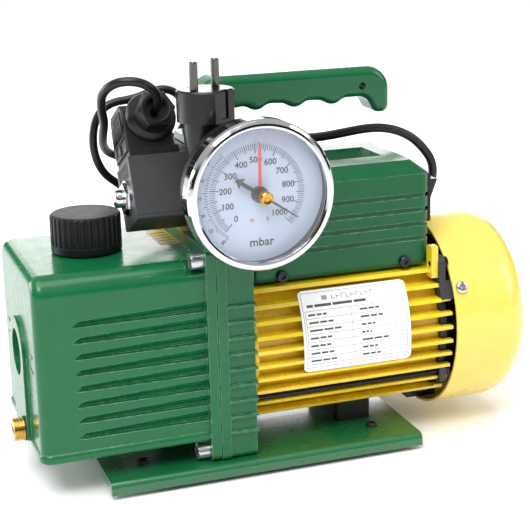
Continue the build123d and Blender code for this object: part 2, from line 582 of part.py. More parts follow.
def terminal_box():
    body = box_outline(0, BOX_Z0, BOX_SHOULDER)
    mid_x, length, width = (BOX_X0 + BOX_X1) / 2, BOX_X1 - BOX_X0, 2 * BOX_Y
    low = Pos(mid_x, 0, BOX_SHOULDER) * RectangleRounded(length, width, BOX_CORNER)
    high = Pos(mid_x, 0, BOX_TOP) * RectangleRounded(length - 20, width - 15, BOX_CORNER - 2)
    body += loft([low, high])
    trough = frustum((12, 88, 7, BOX_TOP - 6), (6, 96, 17, BOX_TOP + 0.5))
    body -= trough
    for k in range(4):
        z = 133.0 + 9.1 * k
        body -= box_outline(-2, z - 1.4, z + 1.4) - box_outline(1.3, z - 2, z + 2)
    lower = body.edges().filter_by(Axis.Y).group_by(Axis.Z)[0]
    body = fillet(lower.sort_by(Axis.X)[-1], 7)
    body -= box_outline(BOX_WALL, BOX_Z0 - 1, BOX_SHOULDER - 2)
    body -= cyl_x(HOUSING_R + 0.2, -20, 130)
    body -= box(BOX_X1 - 6, BOX_X1 + 1, SWITCH_Y - 10.2, SWITCH_Y + 10.2, SWITCH_Z - 13.7, SWITCH_Z + 13.7)
    body -= cyl_x(5.1, BOX_X1 - 6, BOX_X1 + 1, GLAND_Y, GLAND_Z)
    body -= cyl_x(3.6, BOX_X0 - 1, BOX_X0 + 6, LEAD_ENTRY_Y, LEAD_ENTRY_Z)
    for x, z in BOX_SCREWS:
        body -= cyl_y(2.1, -BOX_Y - 1, BOX_Y + 1, x, z)
    return body



def switch_parts():
    """Panel switch: a framed well in the end wall and the rocker tilted in it."""
    x = BOX_X1
    half_h, half_w = SWITCH_H / 2, SWITCH_W / 2
    frame = box(x, x + 2, SWITCH_Y - half_w, SWITCH_Y + half_w, SWITCH_Z - half_h, SWITCH_Z + half_h)
    frame = fillet(frame.edges().filter_by(Axis.X), 1.5)
    frame += box(x - 20, x, SWITCH_Y - 10, SWITCH_Y + 10, SWITCH_Z - 13.5, SWITCH_Z + 13.5)
    frame -= box(x - 10, x + 3, SWITCH_Y - 8.6, SWITCH_Y + 8.6, SWITCH_Z - 12.9, SWITCH_Z + 12.9)
    outline = [(-3, -11), (4.2, -12), (3.2, 0), (5.2, 12), (-3, 11)]
    rocker = prism([(x + 1 + dx, SWITCH_Z + dz) for dx, dz in outline], Plane.XZ.offset(-SWITCH_Y - 8), 16)
    pivot = Pos(x + 1, 0, SWITCH_Z) * Rot(0, ROCKER_TILT, 0) * Pos(-x - 1, 0, -SWITCH_Z)
    return frame, pivot * rocker


def terminal_screws():
    screw = cap_screw(3.6, 2.4, 2.0, 7.0)
    return [place(screw, facing, x, side * (BOX_Y + 0.02), z)
            for facing, side in (("-y", -1), ("+y", 1)) for x, z in BOX_SCREWS]


switch_body, switch_rocker = switch_parts()
add("terminal_box", terminal_box())
add("terminal_box_screws", *terminal_screws())
add("capacitor", fillet(cyl_x(16, 24, 88, 0, 150).edges().filter_by(GeomType.CIRCLE), 2))
add("switch_body", switch_body)
add("switch_rocker", switch_rocker)
gland = cyl_x(5.0, BOX_X1 - 5, BOX_X1 + 3.5, GLAND_Y, GLAND_Z)
gland += cyl_x(6.6, BOX_X1, BOX_X1 + 2, GLAND_Y, GLAND_Z)
grommet = cyl_x(3.5, BOX_X0 - 2, BOX_X0 + 5, LEAD_ENTRY_Y, LEAD_ENTRY_Z)
grommet += cyl_x(5.2, BOX_X0 - 2, BOX_X0, LEAD_ENTRY_Y, LEAD_ENTRY_Z)
add("box_glands", gland, grommet)


# ---- inlet valve ------------------------------------------------------------------------------------
def valve_body():
    body = box(VALVE_X0, VALVE_X1, VALVE_Y0, VALVE_Y1, RIM_Z1, VALVE_Z1)
    body = fillet(body.edges().filter_by(Axis.Z), 3)
    body -= cyl_x(8.05, VALVE_X0 - 1, -14, COIL_Y, COIL_Z)
    body -= cyl_z(4.0, RIM_Z1 - 1, COIL_Z, INTAKE_X, INTAKE_Y)
    body -= cyl_z(3.4, COIL_Z, PORT_SMALL_Z, PORT_X, COIL_Y)
    for z in (PORT_SMALL_Z, PORT_LARGE_Z):
        body -= cyl_y(3.9, COIL_Y - 5, VALVE_Y1 + 1, PORT_X, z)
    body -= cyl_y(6.6, VALVE_Y0 - 1, VALVE_Y0 + 7, GAUGE_X, GAUGE_Z)
    body -= cyl_y(3.0, VALVE_Y0, COIL_Y, GAUGE_X, GAUGE_Z)
    for y in HANDLE_SCREW_Y:
        body -= cyl_z(2.45, VALVE_Z1 - 13, VALVE_Z1 + 1, HANDLE_SCREW_X, y)
    return body


HANDLE_SCREW_X, HANDLE_SCREW_Y = -14.0, (-19.5, 17.5)


def flare_port(r, z, nut_r):
    """Male flare port along +Y: hexagon, thread relief, thread and 45 degree cone."""
    y = VALVE_Y1
    hexagon = Pos(PORT_X, y, z) * Rot(-90, 0, 0) * extrude(RegularPolygon(nut_r, 6), 7)
    port = hexagon + cyl_y(r, y + 7, y + 20, PORT_X, z)
    cone = Pos(PORT_X, y + 20, z) * Rot(-90, 0, 0) * Pos(0, 0, 1.5) * Cone(r - 0.8, r - 3.0, 3)
    port += cone
    return port - cyl_y(3.0, y - 1, y + 30, PORT_X, z)


def inlet_cap():
    """Slip-on dust cap over the larger port."""
    y0, y1 = VALVE_Y1 + 8, VALVE_Y1 + 26
    cap = cyl_y(PORT_LARGE_R + 2.2, y0, y1, PORT_X, PORT_LARGE_Z)
    cap = fillet(cap.edges().filter_by(GeomType.CIRCLE).group_by(Axis.Y)[-1], 1.5)
    return cap - cyl_y(PORT_LARGE_R + 0.06, y0 - 1, y1 - 2, PORT_X, PORT_LARGE_Z)


def coil_local(part):
    """Lean a piece back about the coil's axis."""
    return turn(part, (COIL_Y, COIL_Z), COIL_LEAN)


def solenoid_coil():
    y0, y1, z0, z1 = COIL_Y - COIL_HALF, COIL_Y + COIL_HALF, COIL_Z - COIL_HALF, COIL_Z + COIL_TOP
    body = box(COIL_X0, COIL_X1 - 0.2, y0, y1, z0, z1)
    body = fillet(edges_along(body, Axis.X, Axis.Z, False), 3)
    body -= box(COIL_X0 - 1, COIL_X0 + 0.6, y0 + 5, y1 - 5, z1 - 11, z1 - 2)
    body -= cyl_x(8.05, COIL_X0 - 1, COIL_X1 + 1, COIL_Y, COIL_Z)
    return coil_local(body)


def armature():
    tube = cyl_x(8.0, COIL_X0 + 1, -15, COIL_Y, COIL_Z) - cyl_x(6.0, COIL_X0 + 5, -10, COIL_Y, COIL_Z)
    tube += cyl_x(4.0, COIL_X0 - 3, COIL_X0 + 2, COIL_Y, COIL_Z)
    head = chamfer(Cylinder(5.5, 5.0).edges().filter_by(GeomType.CIRCLE).group_by(Axis.Z)[-1], 0.8)
    tube += Pos(COIL_X0 - 5.4, COIL_Y, COIL_Z) * Rot(0, -90, 0) * head
    nut = Pos(COIL_X0, COIL_Y, COIL_Z) * Rot(0, -90, 0) * extrude(RegularPolygon(9.5, 6), 2.9)
    nut += cyl_x(10.8, COIL_X0 - 1.2, COIL_X0, COIL_Y, COIL_Z)
    nut -= cyl_x(4.1, COIL_X0 - 12, COIL_X0 + 1, COIL_Y, COIL_Z)
    return tube, nut


def plunger():
    body = cyl_x(5.9, -46, -20, COIL_Y, COIL_Z)
    return body - cyl_x(3.2, -47, -36, COIL_Y, COIL_Z)


def din_connector():
    """Plug-in connector on top of the coil with its cable gland facing forwards."""
    y0, y1, z0 = COIL_Y - 16, COIL_Y + 16.5, COIL_Z + COIL_TOP
    body = box(COIL_X0 + 0.3, COIL_X1 - 7, y0, y1, z0 + 4, z0 + 33)
    body = chamfer(body.edges().filter_by(Axis.X).group_by(Axis.Z)[-1], 4)
    body = fillet(body.edges().filter_by(Axis.Z), 1.5)
    base = box(COIL_X0 + 1.5, COIL_X1 - 5.5, y0 - 1, y1 + 1, z0, z0 + 5)
    mouth = COIL_Y - DIN_GLAND_REACH
    gx, gz = DIN_GLAND_X, COIL_Z + DIN_GLAND_UP
    boss = cyl_y(11.0, mouth + 11, COIL_Y, gx, gz)
    nut = Pos(gx, mouth + 11.2, gz) * Rot(90, 0, 0) * extrude(RegularPolygon(11.9, 6), 11.2)
    nut = fillet(nut.faces().sort_by(Axis.Y)[0].edges(), 1.0)
    body = body + base + boss + nut
    body -= cyl_y(6.8, mouth - 1, mouth + DIN_GLAND_DEPTH, gx, gz)
    return coil_local(body)


def din_gland_point(out):
    """Point on the leaning gland's axis, a distance out from the bottom of its recess."""
    lean = radians(COIL_LEAN)
    dy, dz = -(DIN_GLAND_REACH - DIN_GLAND_DEPTH) - out, DIN_GLAND_UP
    return (DIN_GLAND_X, COIL_Y + dy * cos(lean) - dz * sin(lean), COIL_Z + dy * sin(lean) + dz * cos(lean))


add("valve_body", valve_body())
add("solenoid_coil", solenoid_coil())
add("armature", *armature())
add("plunger", plunger())
add("din_connector", din_connector())
add("inlet_ports", flare_port(PORT_SMALL_R, PORT_SMALL_Z, 8.2), flare_port(PORT_LARGE_R, PORT_LARGE_Z, 10.6))
add("inlet_cap", inlet_cap())


# ---- vacuum gauge -------------------------------------------------------------------------------------
def gauge_case():
    case = cyl_y(41.0, GAUGE_Y0 + 4, GAUGE_BACK, GAUGE_X, GAUGE_Z)
    case = fillet(case.edges().filter_by(GeomType.CIRCLE).group_by(Axis.Y)[-1], 4)
    case -= cyl_y(39.6, GAUGE_Y0, GAUGE_BACK - 2, GAUGE_X, GAUGE_Z)
    case += cyl_y(6.5, GAUGE_BACK - 1, VALVE_Y0 + 6, GAUGE_X, GAUGE_Z)
    hexagon = Pos(GAUGE_X, GAUGE_BACK + 12, GAUGE_Z) * Rot(-90, 0, 0) * extrude(RegularPolygon(8.2, 6), 14)
    return case + hexagon


def gauge_bezel():
    """Rolled ring: grips the case and turns in over the glass."""
    y = GAUGE_Y0
    lip_r, lip_y = 37.6, y + 2.2
    profile = Polyline((41.1, y + 14), (GAUGE_R - 0.8, y + 14), (GAUGE_R, y + 12), (GAUGE_R, y + 3.2),
                       (GAUGE_R - 0.9, y + 1.2), (GAUGE_R - 2.4, y + 0.2), (GAUGE_R - 3.8, y),
                       (GAUGE_R - 5.0, y + 0.5), (lip_r, y + 1.5),
                       (lip_r, lip_y), (41.1, lip_y), close=True)
    return Pos(GAUGE_X, 0, GAUGE_Z) * revolve(make_face(profile), Axis.Y)


def hand(length, tail, width, y0, y1, angle):
    """Pointer blade in the dial plane, turned clockwise from twelve o'clock."""
    blade = prism([(-width, -tail), (width, -tail), (0.35, length), (-0.35, length)], Plane.XZ, y1 - y0)
    blade = Pos(0, y1, 0) * blade
    hub = Pos(0, (y0 + y1) / 2, 0) * Rot(90, 0, 0) * Cylinder(4.2, y1 - y0)
    return Pos(GAUGE_X, 0, GAUGE_Z) * Rot(0, angle, 0) * (blade + hub)


READING_ANGLE, SET_ANGLE = 124.0, 0.5
SET_Y, HAND_Y = -94.6, -92.4


def set_pointer():
    red = hand(30, 3.5, 1.6, SET_Y, SET_Y + 0.8, SET_ANGLE)
    knob = cyl_y(2.0, GAUGE_Y0 - 2, SET_Y, GAUGE_X, GAUGE_Z)
    knob += cyl_y(5.2, GAUGE_Y0 - 6.5, GAUGE_Y0 - 1.6, GAUGE_X, GAUGE_Z)
    knob += cyl_y(3.4, GAUGE_Y0 - 1.6, GAUGE_Y0 + 1.6, GAUGE_X, GAUGE_Z)
    return red, knob


add("gauge_case", gauge_case())
add("gauge_bezel", gauge_bezel())
add("gauge_glass", cyl_y(39.4, GAUGE_Y0 + 2.3, GAUGE_Y0 + 4.3, GAUGE_X, GAUGE_Z)
    - cyl_y(2.1, GAUGE_Y0, GAUGE_Y0 + 9, GAUGE_X, GAUGE_Z))
add("gauge_dial", cyl_y(39.4, DIAL_Y, DIAL_Y + 0.8, GAUGE_X, GAUGE_Z)
    - cyl_y(1.6, DIAL_Y - 1, DIAL_Y + 2, GAUGE_X, GAUGE_Z))
add("gauge_pointer", hand(28, 16, 1.3, HAND_Y, HAND_Y + 0.8, READING_ANGLE)
    + cyl_y(1.5, -92.0, DIAL_Y + 5, GAUGE_X, GAUGE_Z))
add("set_pointer", *set_pointer())


# ---- handle ------------------------------------------------------------------------------------------------
def handle():
    """Grip with finger scallops, carried at one end by a stem and a screwed foot."""
    top, x0, x1 = HANDLE_TOP, HANDLE_X0, HANDLE_X1
    arch_z, crest_z, crests = 219.6, 214.8, (64.8, 39.8, 14.4)
    corners = [((x0, top), 16), ((x1, top), 15), ((x1, 208.0), 5), ((x1 - 9.5, 209.4), 5)]
    corners += [((87.5, arch_z), 9)]
    for x in crests:
        corners += [((x + 7.6, arch_z), 9), ((x, crest_z), 8), ((x - 7.6, arch_z - 0.5), 9)]
    corners += [((-6.5, 217.4), 9), ((-12.5, 211.5), 6), ((x0, 211.5), 6)]
    wire = FilletPolyline(*[p for p, _ in corners], radius=[r for _, r in corners], close=True)
    grip = extrude(Plane.XZ * make_face(wire), HANDLE_Y, both=True)
    for side in (0, -1):
        grip = fillet(grip.faces().sort_by(Axis.Y)[side].edges(), 5)
    stem = box(x0 + 0.5, -4.5, -10.5, 10.5, VALVE_Z1, 222)
    stem = fillet(stem.edges().filter_by(Axis.Z), 5)
    foot = box(VALVE_X0 + 1, -3.0, VALVE_Y0 + 1, VALVE_Y1, VALVE_Z1, VALVE_Z1 + 5)
    foot = fillet(foot.edges().filter_by(Axis.Z), 4)
    grip = foot + stem + grip
    grip -= cyl_y(2.3, -20, 20, 83.5, 226.6)
    for y in HANDLE_SCREW_Y:
        grip -= cyl_z(2.7, VALVE_Z1 - 1, VALVE_Z1 + 9, HANDLE_SCREW_X, y)
        grip -= cyl_z(4.6, VALVE_Z1 + 5, VALVE_Z1 + 11, HANDLE_SCREW_X, y)
    return grip


add("handle", handle())


# ---- cords and plug --------------------------------------------------------------------------------------
LEAD_D, CORD_D = 5.3, 6.0
COIL_CENTRE, COIL_MEAN_R, COIL_IN, COIL_OUT, COIL_H = (25.0, 128.0), 33.0, 23.9, 42.1, 11.4

# Solenoid lead: gland, forward loop, behind the coil, second loop, then the terminal box.
LEAD_ROUTE = [din_gland_point(0), din_gland_point(10), (-54.4, -33.4, 231.5), (-60.5, -38.5, 237),
              (-69.3, -39.9, 240.6), (-78.6, -37.4, 241), (-85.8, -31.8, 238), (-89.3, -24, 232.1),
              (-86.9, -14.6, 223.5), (-82.1, -4.8, 214.8), (-78.9, 6.3, 206.2), (-76.8, 18, 198.1),
              (-72, 28.8, 191),
              (-64.5, 35.5, 186.5), (-55, 38.2, 184.6), (-45.5, 38.4, 185.4), (-36, 37.8, 188.4),
              (-27.3, 37.2, 193.2), (-20.1, 37, 200.1), (-17.2, 37.1, 208.8), (-18.6, 37.5, 216.6),
              (-22.6, 38, 222.8), (-29.2, 38.8, 226.2), (-36.8, 39.6, 225.8), (-44.6, 40.6, 222.8),
              (-53.4, 41.4, 220.6), (-62.4, 42, 219.9), (-70.2, 42, 216.4), (-75.2, 42, 209.6),
              (-77.4, 42, 200.6), (-77.6, 42, 191.2), (-75.6, 42, 182), (-71.3, 42, 174.2),
              (-65, 41.8, 168.7),
              (-57, 41, 162.9), (-48, 39.6, 158.6), (-38.5, 37.6, 155.2),
              (-29, 35.2, 152.3), (-19, LEAD_ENTRY_Y, LEAD_ENTRY_Z),
              (BOX_X0 - 2, LEAD_ENTRY_Y, LEAD_ENTRY_Z)]

# Supply cord: out of the box end, over the box, down behind the motor to the coil on the floor.
CORD_ROUTE = [(BOX_X1 + 3.5, GLAND_Y, GLAND_Z), (BOX_X1 + 16, GLAND_Y, GLAND_Z), (143.8, 20, 145.6),
              (149.2, 20, 156), (148.4, 20, 167.4), (142, 20, 176.6), (133.7, 20, 184.6), (123.6, 20, 190),
              (112, 20, 193.1), (99.3, 19.8, 193.6), (86, 19.6, 192.2), (72.5, 20.4, 190.6),
              (60.5, 23.5, 189.6),
              (50, 29.5, 189.2),
              (41.5, 38, 187.6), (35.6, 48, 183), (32, 57.6, 174.5), (30.6, 65.8, 161),
              (30, 70.5, 141), (29.5, 72.5, 117), (29.5, 73.5, 89), (30.5, 75.5, 61), (34, 79.5, 38),
              (40.5, 86, 20), (49.5, 94.5, 8.5), (58, 106, 3.6), (61.5, 119, 3.2)]

# Plug end of the same cord: off the coil, up behind the motor, over the box to the plug.
TAIL_ROUTE = [(-5, 127, 8.4), (-6, 113, 8.8), (-6.5, 99.5, 11.5), (-4.5, 87.5, 19.5), (-0.5, 79.5, 33),
              (3.5, 75.5, 52), (7, 74, 75), (10, 73, 99), (13, 71.5, 122), (15.5, 68.5, 143), (18.5, 62, 161),
              (22, 51.5, 175.5), (25.5, 37, 186), (28.5, 20, 191), (30, 3, 193.5), (28.5, -14, 196.5),
              (22.5, -28.5, 200), (12, -39, 203), (0, -45.5, 205)]


def cord_path(name, route, diameter):
    """Straight runs joined by arcs as large as the runs allow."""
    points = [Vector(*p) for p in route]
    radii = []
    for before, here, after in zip(points, points[1:], points[2:]):
        arriving, leaving = here - before, after - here
        half_turn = radians(arriving.get_angle(leaving)) / 2
        radii.append(0.45 * min(arriving.length, leaving.length) / tan(half_turn))
    print(name, "radii", [round(r) for r in radii], "least", round(min(radii) / diameter, 1), "diameters")
    return FilletPolyline(*route, radius=radii)


def cord_tube(name, route, diameter):
    path = cord_path(name, route, diameter)
    section = Plane(origin=path @ 0, z_dir=path % 0) * Circle(diameter / 2)
    tube = sweep(section, path=path)
    expected = 3.14159 * diameter ** 2 / 4 * path.length
    print(name, "length", round(path.length), "volume ratio", round(tube.volume / expected, 4))
    return tube


PLUG_X, PLUG_Y, PLUG_TURN = -30.5, -50.0, 33.0
PLUG_FACE, PLUG_WAIST, PLUG_FOOT, PLUG_RELIEF = 238.0, 219.5, 191.9, 24.0
PLUG_R, PLUG_HALF, PLUG_CLIP = 16.8, 14.5, 2.2
PIN_R, PIN_SPACING, PIN_LENGTH = 2.4, 19.0, 16.5


def plug_body():
    """Angled earthed plug: a flatted round face with clip channels, a waist and a side cord exit."""
    face = cyl_z(PLUG_R, PLUG_WAIST, PLUG_FACE, 0, 0)
    face &= box(-PLUG_R, PLUG_R, -PLUG_HALF, PLUG_HALF, PLUG_WAIST, PLUG_FACE)
    face = chamfer(face.faces().sort_by(Axis.Z)[-1].edges(), 1.0)
    for sy in (-1, 1):
        wall, strip = sy * PLUG_HALF, sy * (PLUG_HALF - 1.6)
        face -= box(-3.2, 3.2, wall - PLUG_CLIP, wall + PLUG_CLIP, PLUG_WAIST + 2, PLUG_FACE + 1)
        face += box(-2.4, 2.4, strip - 0.6, strip + 0.6, PLUG_WAIST + 2, PLUG_FACE - 1)
    sections = [(PLUG_FOOT, 10.5, 7.5), (PLUG_FOOT + 8, 12.5, 10.5), (PLUG_WAIST, 14.6, 12.4)]
    grip = loft([Pos(0, 0, z) * Ellipse(rx, ry) for z, rx, ry in sections])
    body = Pos(PLUG_X, PLUG_Y, 0) * Rot(0, 0, PLUG_TURN) * (face + grip)
    end = Vector(*TAIL_ROUTE[-1])
    along = (end - Vector(*TAIL_ROUTE[-2])).normalized()
    inner = end + along * PLUG_RELIEF
    thin, thick = Plane(origin=end, z_dir=along) * Circle(3.9), Plane(origin=inner, z_dir=along) * Circle(6.2)
    relief = loft([thin, thick])
    return body + relief


def plug_pins():
    pins = []
    for side in (-1, 1):
        pin = cyl_z(PIN_R, PLUG_FACE, PLUG_FACE + PIN_LENGTH, side * PIN_SPACING / 2, 0)
        pin = fillet(pin.edges().filter_by(GeomType.CIRCLE).group_by(Axis.Z)[-1], 1.2)
        pins.append(Pos(PLUG_X, PLUG_Y, 0) * Rot(0, 0, PLUG_TURN) * pin)
    return pins


def cord_coil():
    cx, cy = COIL_CENTRE
    ring = cyl_z(COIL_OUT, 0.2, COIL_H, cx, cy) - cyl_z(COIL_IN, -1, COIL_H + 1, cx, cy)
    return fillet(ring.edges().filter_by(GeomType.CIRCLE), 2.5)


add("solenoid_lead", cord_tube("lead", LEAD_ROUTE, LEAD_D))
add("power_cord", cord_tube("cord", CORD_ROUTE, CORD_D))
add("cord_tail", cord_tube("tail", TAIL_ROUTE, CORD_D))
add("cord_coil", cord_coil())
add("plug_body", plug_body())
add("plug_pins", *plug_pins())


# ---- screws ------------------------------------------------------------------------------------------------
def socket_screws():
    """Socket head screws: casing corners, frame, stator stack, end shield and handle."""
    found = []
    for sy in (-1, 1):
        for z in CORNER_SCREW_Z:
            found.append(place(cap_screw(4.9, 7.6, 2.9, 20), "-x", CASE_X1 - 0.1, sy * CORNER_SCREW_Y, z))
        frame_bolt = cap_screw(4.2, 4.0, 2.4, 15)
        found.append(place(frame_bolt, "-z", FRAME_BOLT_X, sy * FRAME_BOLT_Y, PLATE_TOP - SHEET))
        found.append(place(cap_screw(3.7, 3.0, 2.0, 8.6), "+x", MOTOR_X1 + 4.6, sy * LUG_Y, LUG_Z))
    for y, z in stator_screw_places():
        found.append(place(cap_screw(4.2, 5.0, 2.5, 67), "-x", END_X0, y, z))
    for y in HANDLE_SCREW_Y:
        found.append(place(cap_screw(4.0, 4.5, 2.4, 12), "+z", HANDLE_SCREW_X, y, VALVE_Z1 + 5))
    for x, y in SADDLE_SCREWS:
        found.append(place(pan_screw(3.2, 2.2, 1.7, 7), "-z", x, y, PLATE_TOP - SHEET))
    return found


add("socket_screws", *socket_screws())

for name, shape in nodes.items():
    export_step(shape, f"parts/{name}.step")
print(len(nodes), "nodes")
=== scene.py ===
"""Rotary vane vacuum pump: finishes, cords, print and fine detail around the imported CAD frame."""

import json
from math import atan2, cos, pi, radians, sin

import bmesh
import bpy
from mathutils import Matrix, Vector


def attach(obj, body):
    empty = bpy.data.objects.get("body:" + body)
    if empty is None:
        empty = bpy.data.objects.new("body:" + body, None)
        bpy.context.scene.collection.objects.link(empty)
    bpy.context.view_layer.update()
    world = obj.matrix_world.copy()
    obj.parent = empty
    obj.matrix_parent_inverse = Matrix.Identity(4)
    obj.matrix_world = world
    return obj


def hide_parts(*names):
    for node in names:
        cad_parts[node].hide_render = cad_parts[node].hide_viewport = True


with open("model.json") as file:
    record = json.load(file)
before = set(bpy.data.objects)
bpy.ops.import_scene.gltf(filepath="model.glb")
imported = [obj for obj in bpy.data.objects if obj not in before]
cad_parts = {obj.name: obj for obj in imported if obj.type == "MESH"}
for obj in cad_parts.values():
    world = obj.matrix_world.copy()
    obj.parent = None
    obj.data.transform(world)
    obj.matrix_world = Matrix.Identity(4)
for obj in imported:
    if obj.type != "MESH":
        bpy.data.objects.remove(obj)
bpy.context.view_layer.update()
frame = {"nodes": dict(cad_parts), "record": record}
NODES = frame["nodes"]
MM = 0.001


def rgb(r, g, b):
    """sRGB bytes as a linear colour."""
    return tuple(((c / 255 + 0.055) / 1.055) ** 2.4 for c in (r, g, b)) + (1.0,)


# ---- camera and light ----------------------------------------------------------------------------
# The photo's camera: focal length and width in its pixels, sensor in mm, place in metres, turns in degrees.
FOCAL_PX, WIDTH_PX = 1365.98, 530.0
SENSOR = 36.0
CAMERA_AT = (-0.25441, -0.79742, 0.34998)
CAMERA_YAW, CAMERA_PITCH, CAMERA_ROLL = 19.24, 14.99, -1.35
CAMERA_SHIFT = (-0.0086, -0.0055)


def make_camera():
    """Camera that stands where the photo was taken from."""
    yaw, pitch, roll = radians(CAMERA_YAW), radians(CAMERA_PITCH), radians(CAMERA_ROLL)
    ahead = Vector((sin(yaw) * cos(pitch), cos(yaw) * cos(pitch), -sin(pitch)))
    level = Vector((cos(yaw), -sin(yaw), 0))
    rise = level.cross(ahead)
    right = level * cos(roll) + rise * sin(roll)
    up = rise * cos(roll) - level * sin(roll)
    data = bpy.data.cameras.new("camera")
    data.sensor_width = SENSOR
    data.lens = SENSOR * FOCAL_PX / WIDTH_PX
    data.shift_x, data.shift_y = CAMERA_SHIFT
    data.clip_start, data.clip_end = 0.02, 40
    cam = bpy.data.objects.new("camera", data)
    bpy.context.scene.collection.objects.link(cam)
    turn = Matrix((right, up, -ahead)).transposed().to_4x4()
    cam.matrix_world = Matrix.Translation(CAMERA_AT) @ turn
    bpy.context.scene.camera = cam


def area_light(name, place, target, size, power):
    """Softbox that the camera itself doesn't see; size is its width and height."""
    data = bpy.data.lights.new(name, "AREA")
    data.shape = "RECTANGLE"
    data.size, data.size_y = size
    data.energy = power
    lamp = bpy.data.objects.new(name, data)
    lamp.location = place
    lamp.visible_camera = False
    lamp.rotation_mode = "QUATERNION"
    lamp.rotation_quaternion = (Vector(target) - Vector(place)).to_track_quat("-Z", "Y")
    bpy.context.scene.collection.objects.link(lamp)


# Brightness of the room from straight down (0) through the horizon (0.5) to straight up (1).
ROOM_STOPS = ((0.0, 0.75), (0.49, 0.6), (0.505, 0.03), (0.63, 0.05), (0.70, 0.9), (1.0, 1.0))
ROOM_STRENGTH = 0.6


def make_world():
    """White to the camera; for everything else a soft room with a dark band above the horizon."""
    world = bpy.data.worlds.new("studio")
    bpy.context.scene.world = world
    world.use_nodes = True
    tree = world.node_tree
    new, link = tree.nodes.new, tree.links.new
    room = tree.nodes["Background"]
    out = tree.nodes["World Output"]
    coords = new("ShaderNodeTexCoord")
    split = new("ShaderNodeSeparateXYZ")
    ramp = new("ShaderNodeValToRGB")
    height = new("ShaderNodeMapRange")
    height.inputs["From Min"].default_value = -1
    link(coords.outputs["Generated"], split.inputs[0])
    link(split.outputs["Z"], height.inputs["Value"])
    link(height.outputs[0], ramp.inputs["Fac"])
    while len(ramp.color_ramp.elements) < len(ROOM_STOPS):
        ramp.color_ramp.elements.new(0.5)
    for element, (at, level) in zip(ramp.color_ramp.elements, ROOM_STOPS):
        element.position = at
        element.color = (level, level, level, 1)
    link(ramp.outputs["Color"], room.inputs["Color"])
    room.inputs["Strength"].default_value = ROOM_STRENGTH
    white = new("ShaderNodeBackground")
    white.inputs["Strength"].default_value = 1.0
    path = new("ShaderNodeLightPath")
    mix = new("ShaderNodeMixShader")
    link(path.outputs["Is Camera Ray"], mix.inputs["Fac"])
    link(room.outputs[0], mix.inputs[1])
    link(white.outputs[0], mix.inputs[2])
    link(mix.outputs[0], out.inputs["Surface"])


make_camera()
make_world()
bpy.context.scene.view_settings.view_transform = "Standard"
area_light("key", (-0.75, -1.0, 1.45), (0.0, 0.0, 0.1), (0.9, 0.5), 15)
area_light("right", (1.3, -0.75, 0.8), (0.1, 0.0, 0.12), (0.5, 0.9), 7)
area_light("back", (0.45, 1.5, 0.46), (0.0, 0.0, 0.2), (1.7, 0.4), 8)
area_light("left_low", (-1.15, 0.85, 0.4), (-0.1, 0.0, 0.08), (0.9, 0.6), 12)
sky = bpy.data.lights.new("sky", "SUN")
sky.energy, sky.angle = 2.1, radians(50)
sky_lamp = bpy.data.objects.new("sky", sky)
sky_lamp.rotation_euler = (radians(12), radians(-10), 0)
bpy.context.scene.collection.objects.link(sky_lamp)


# ---- materials -----------------------------------------------------------------------------------
MATERIALS = {}


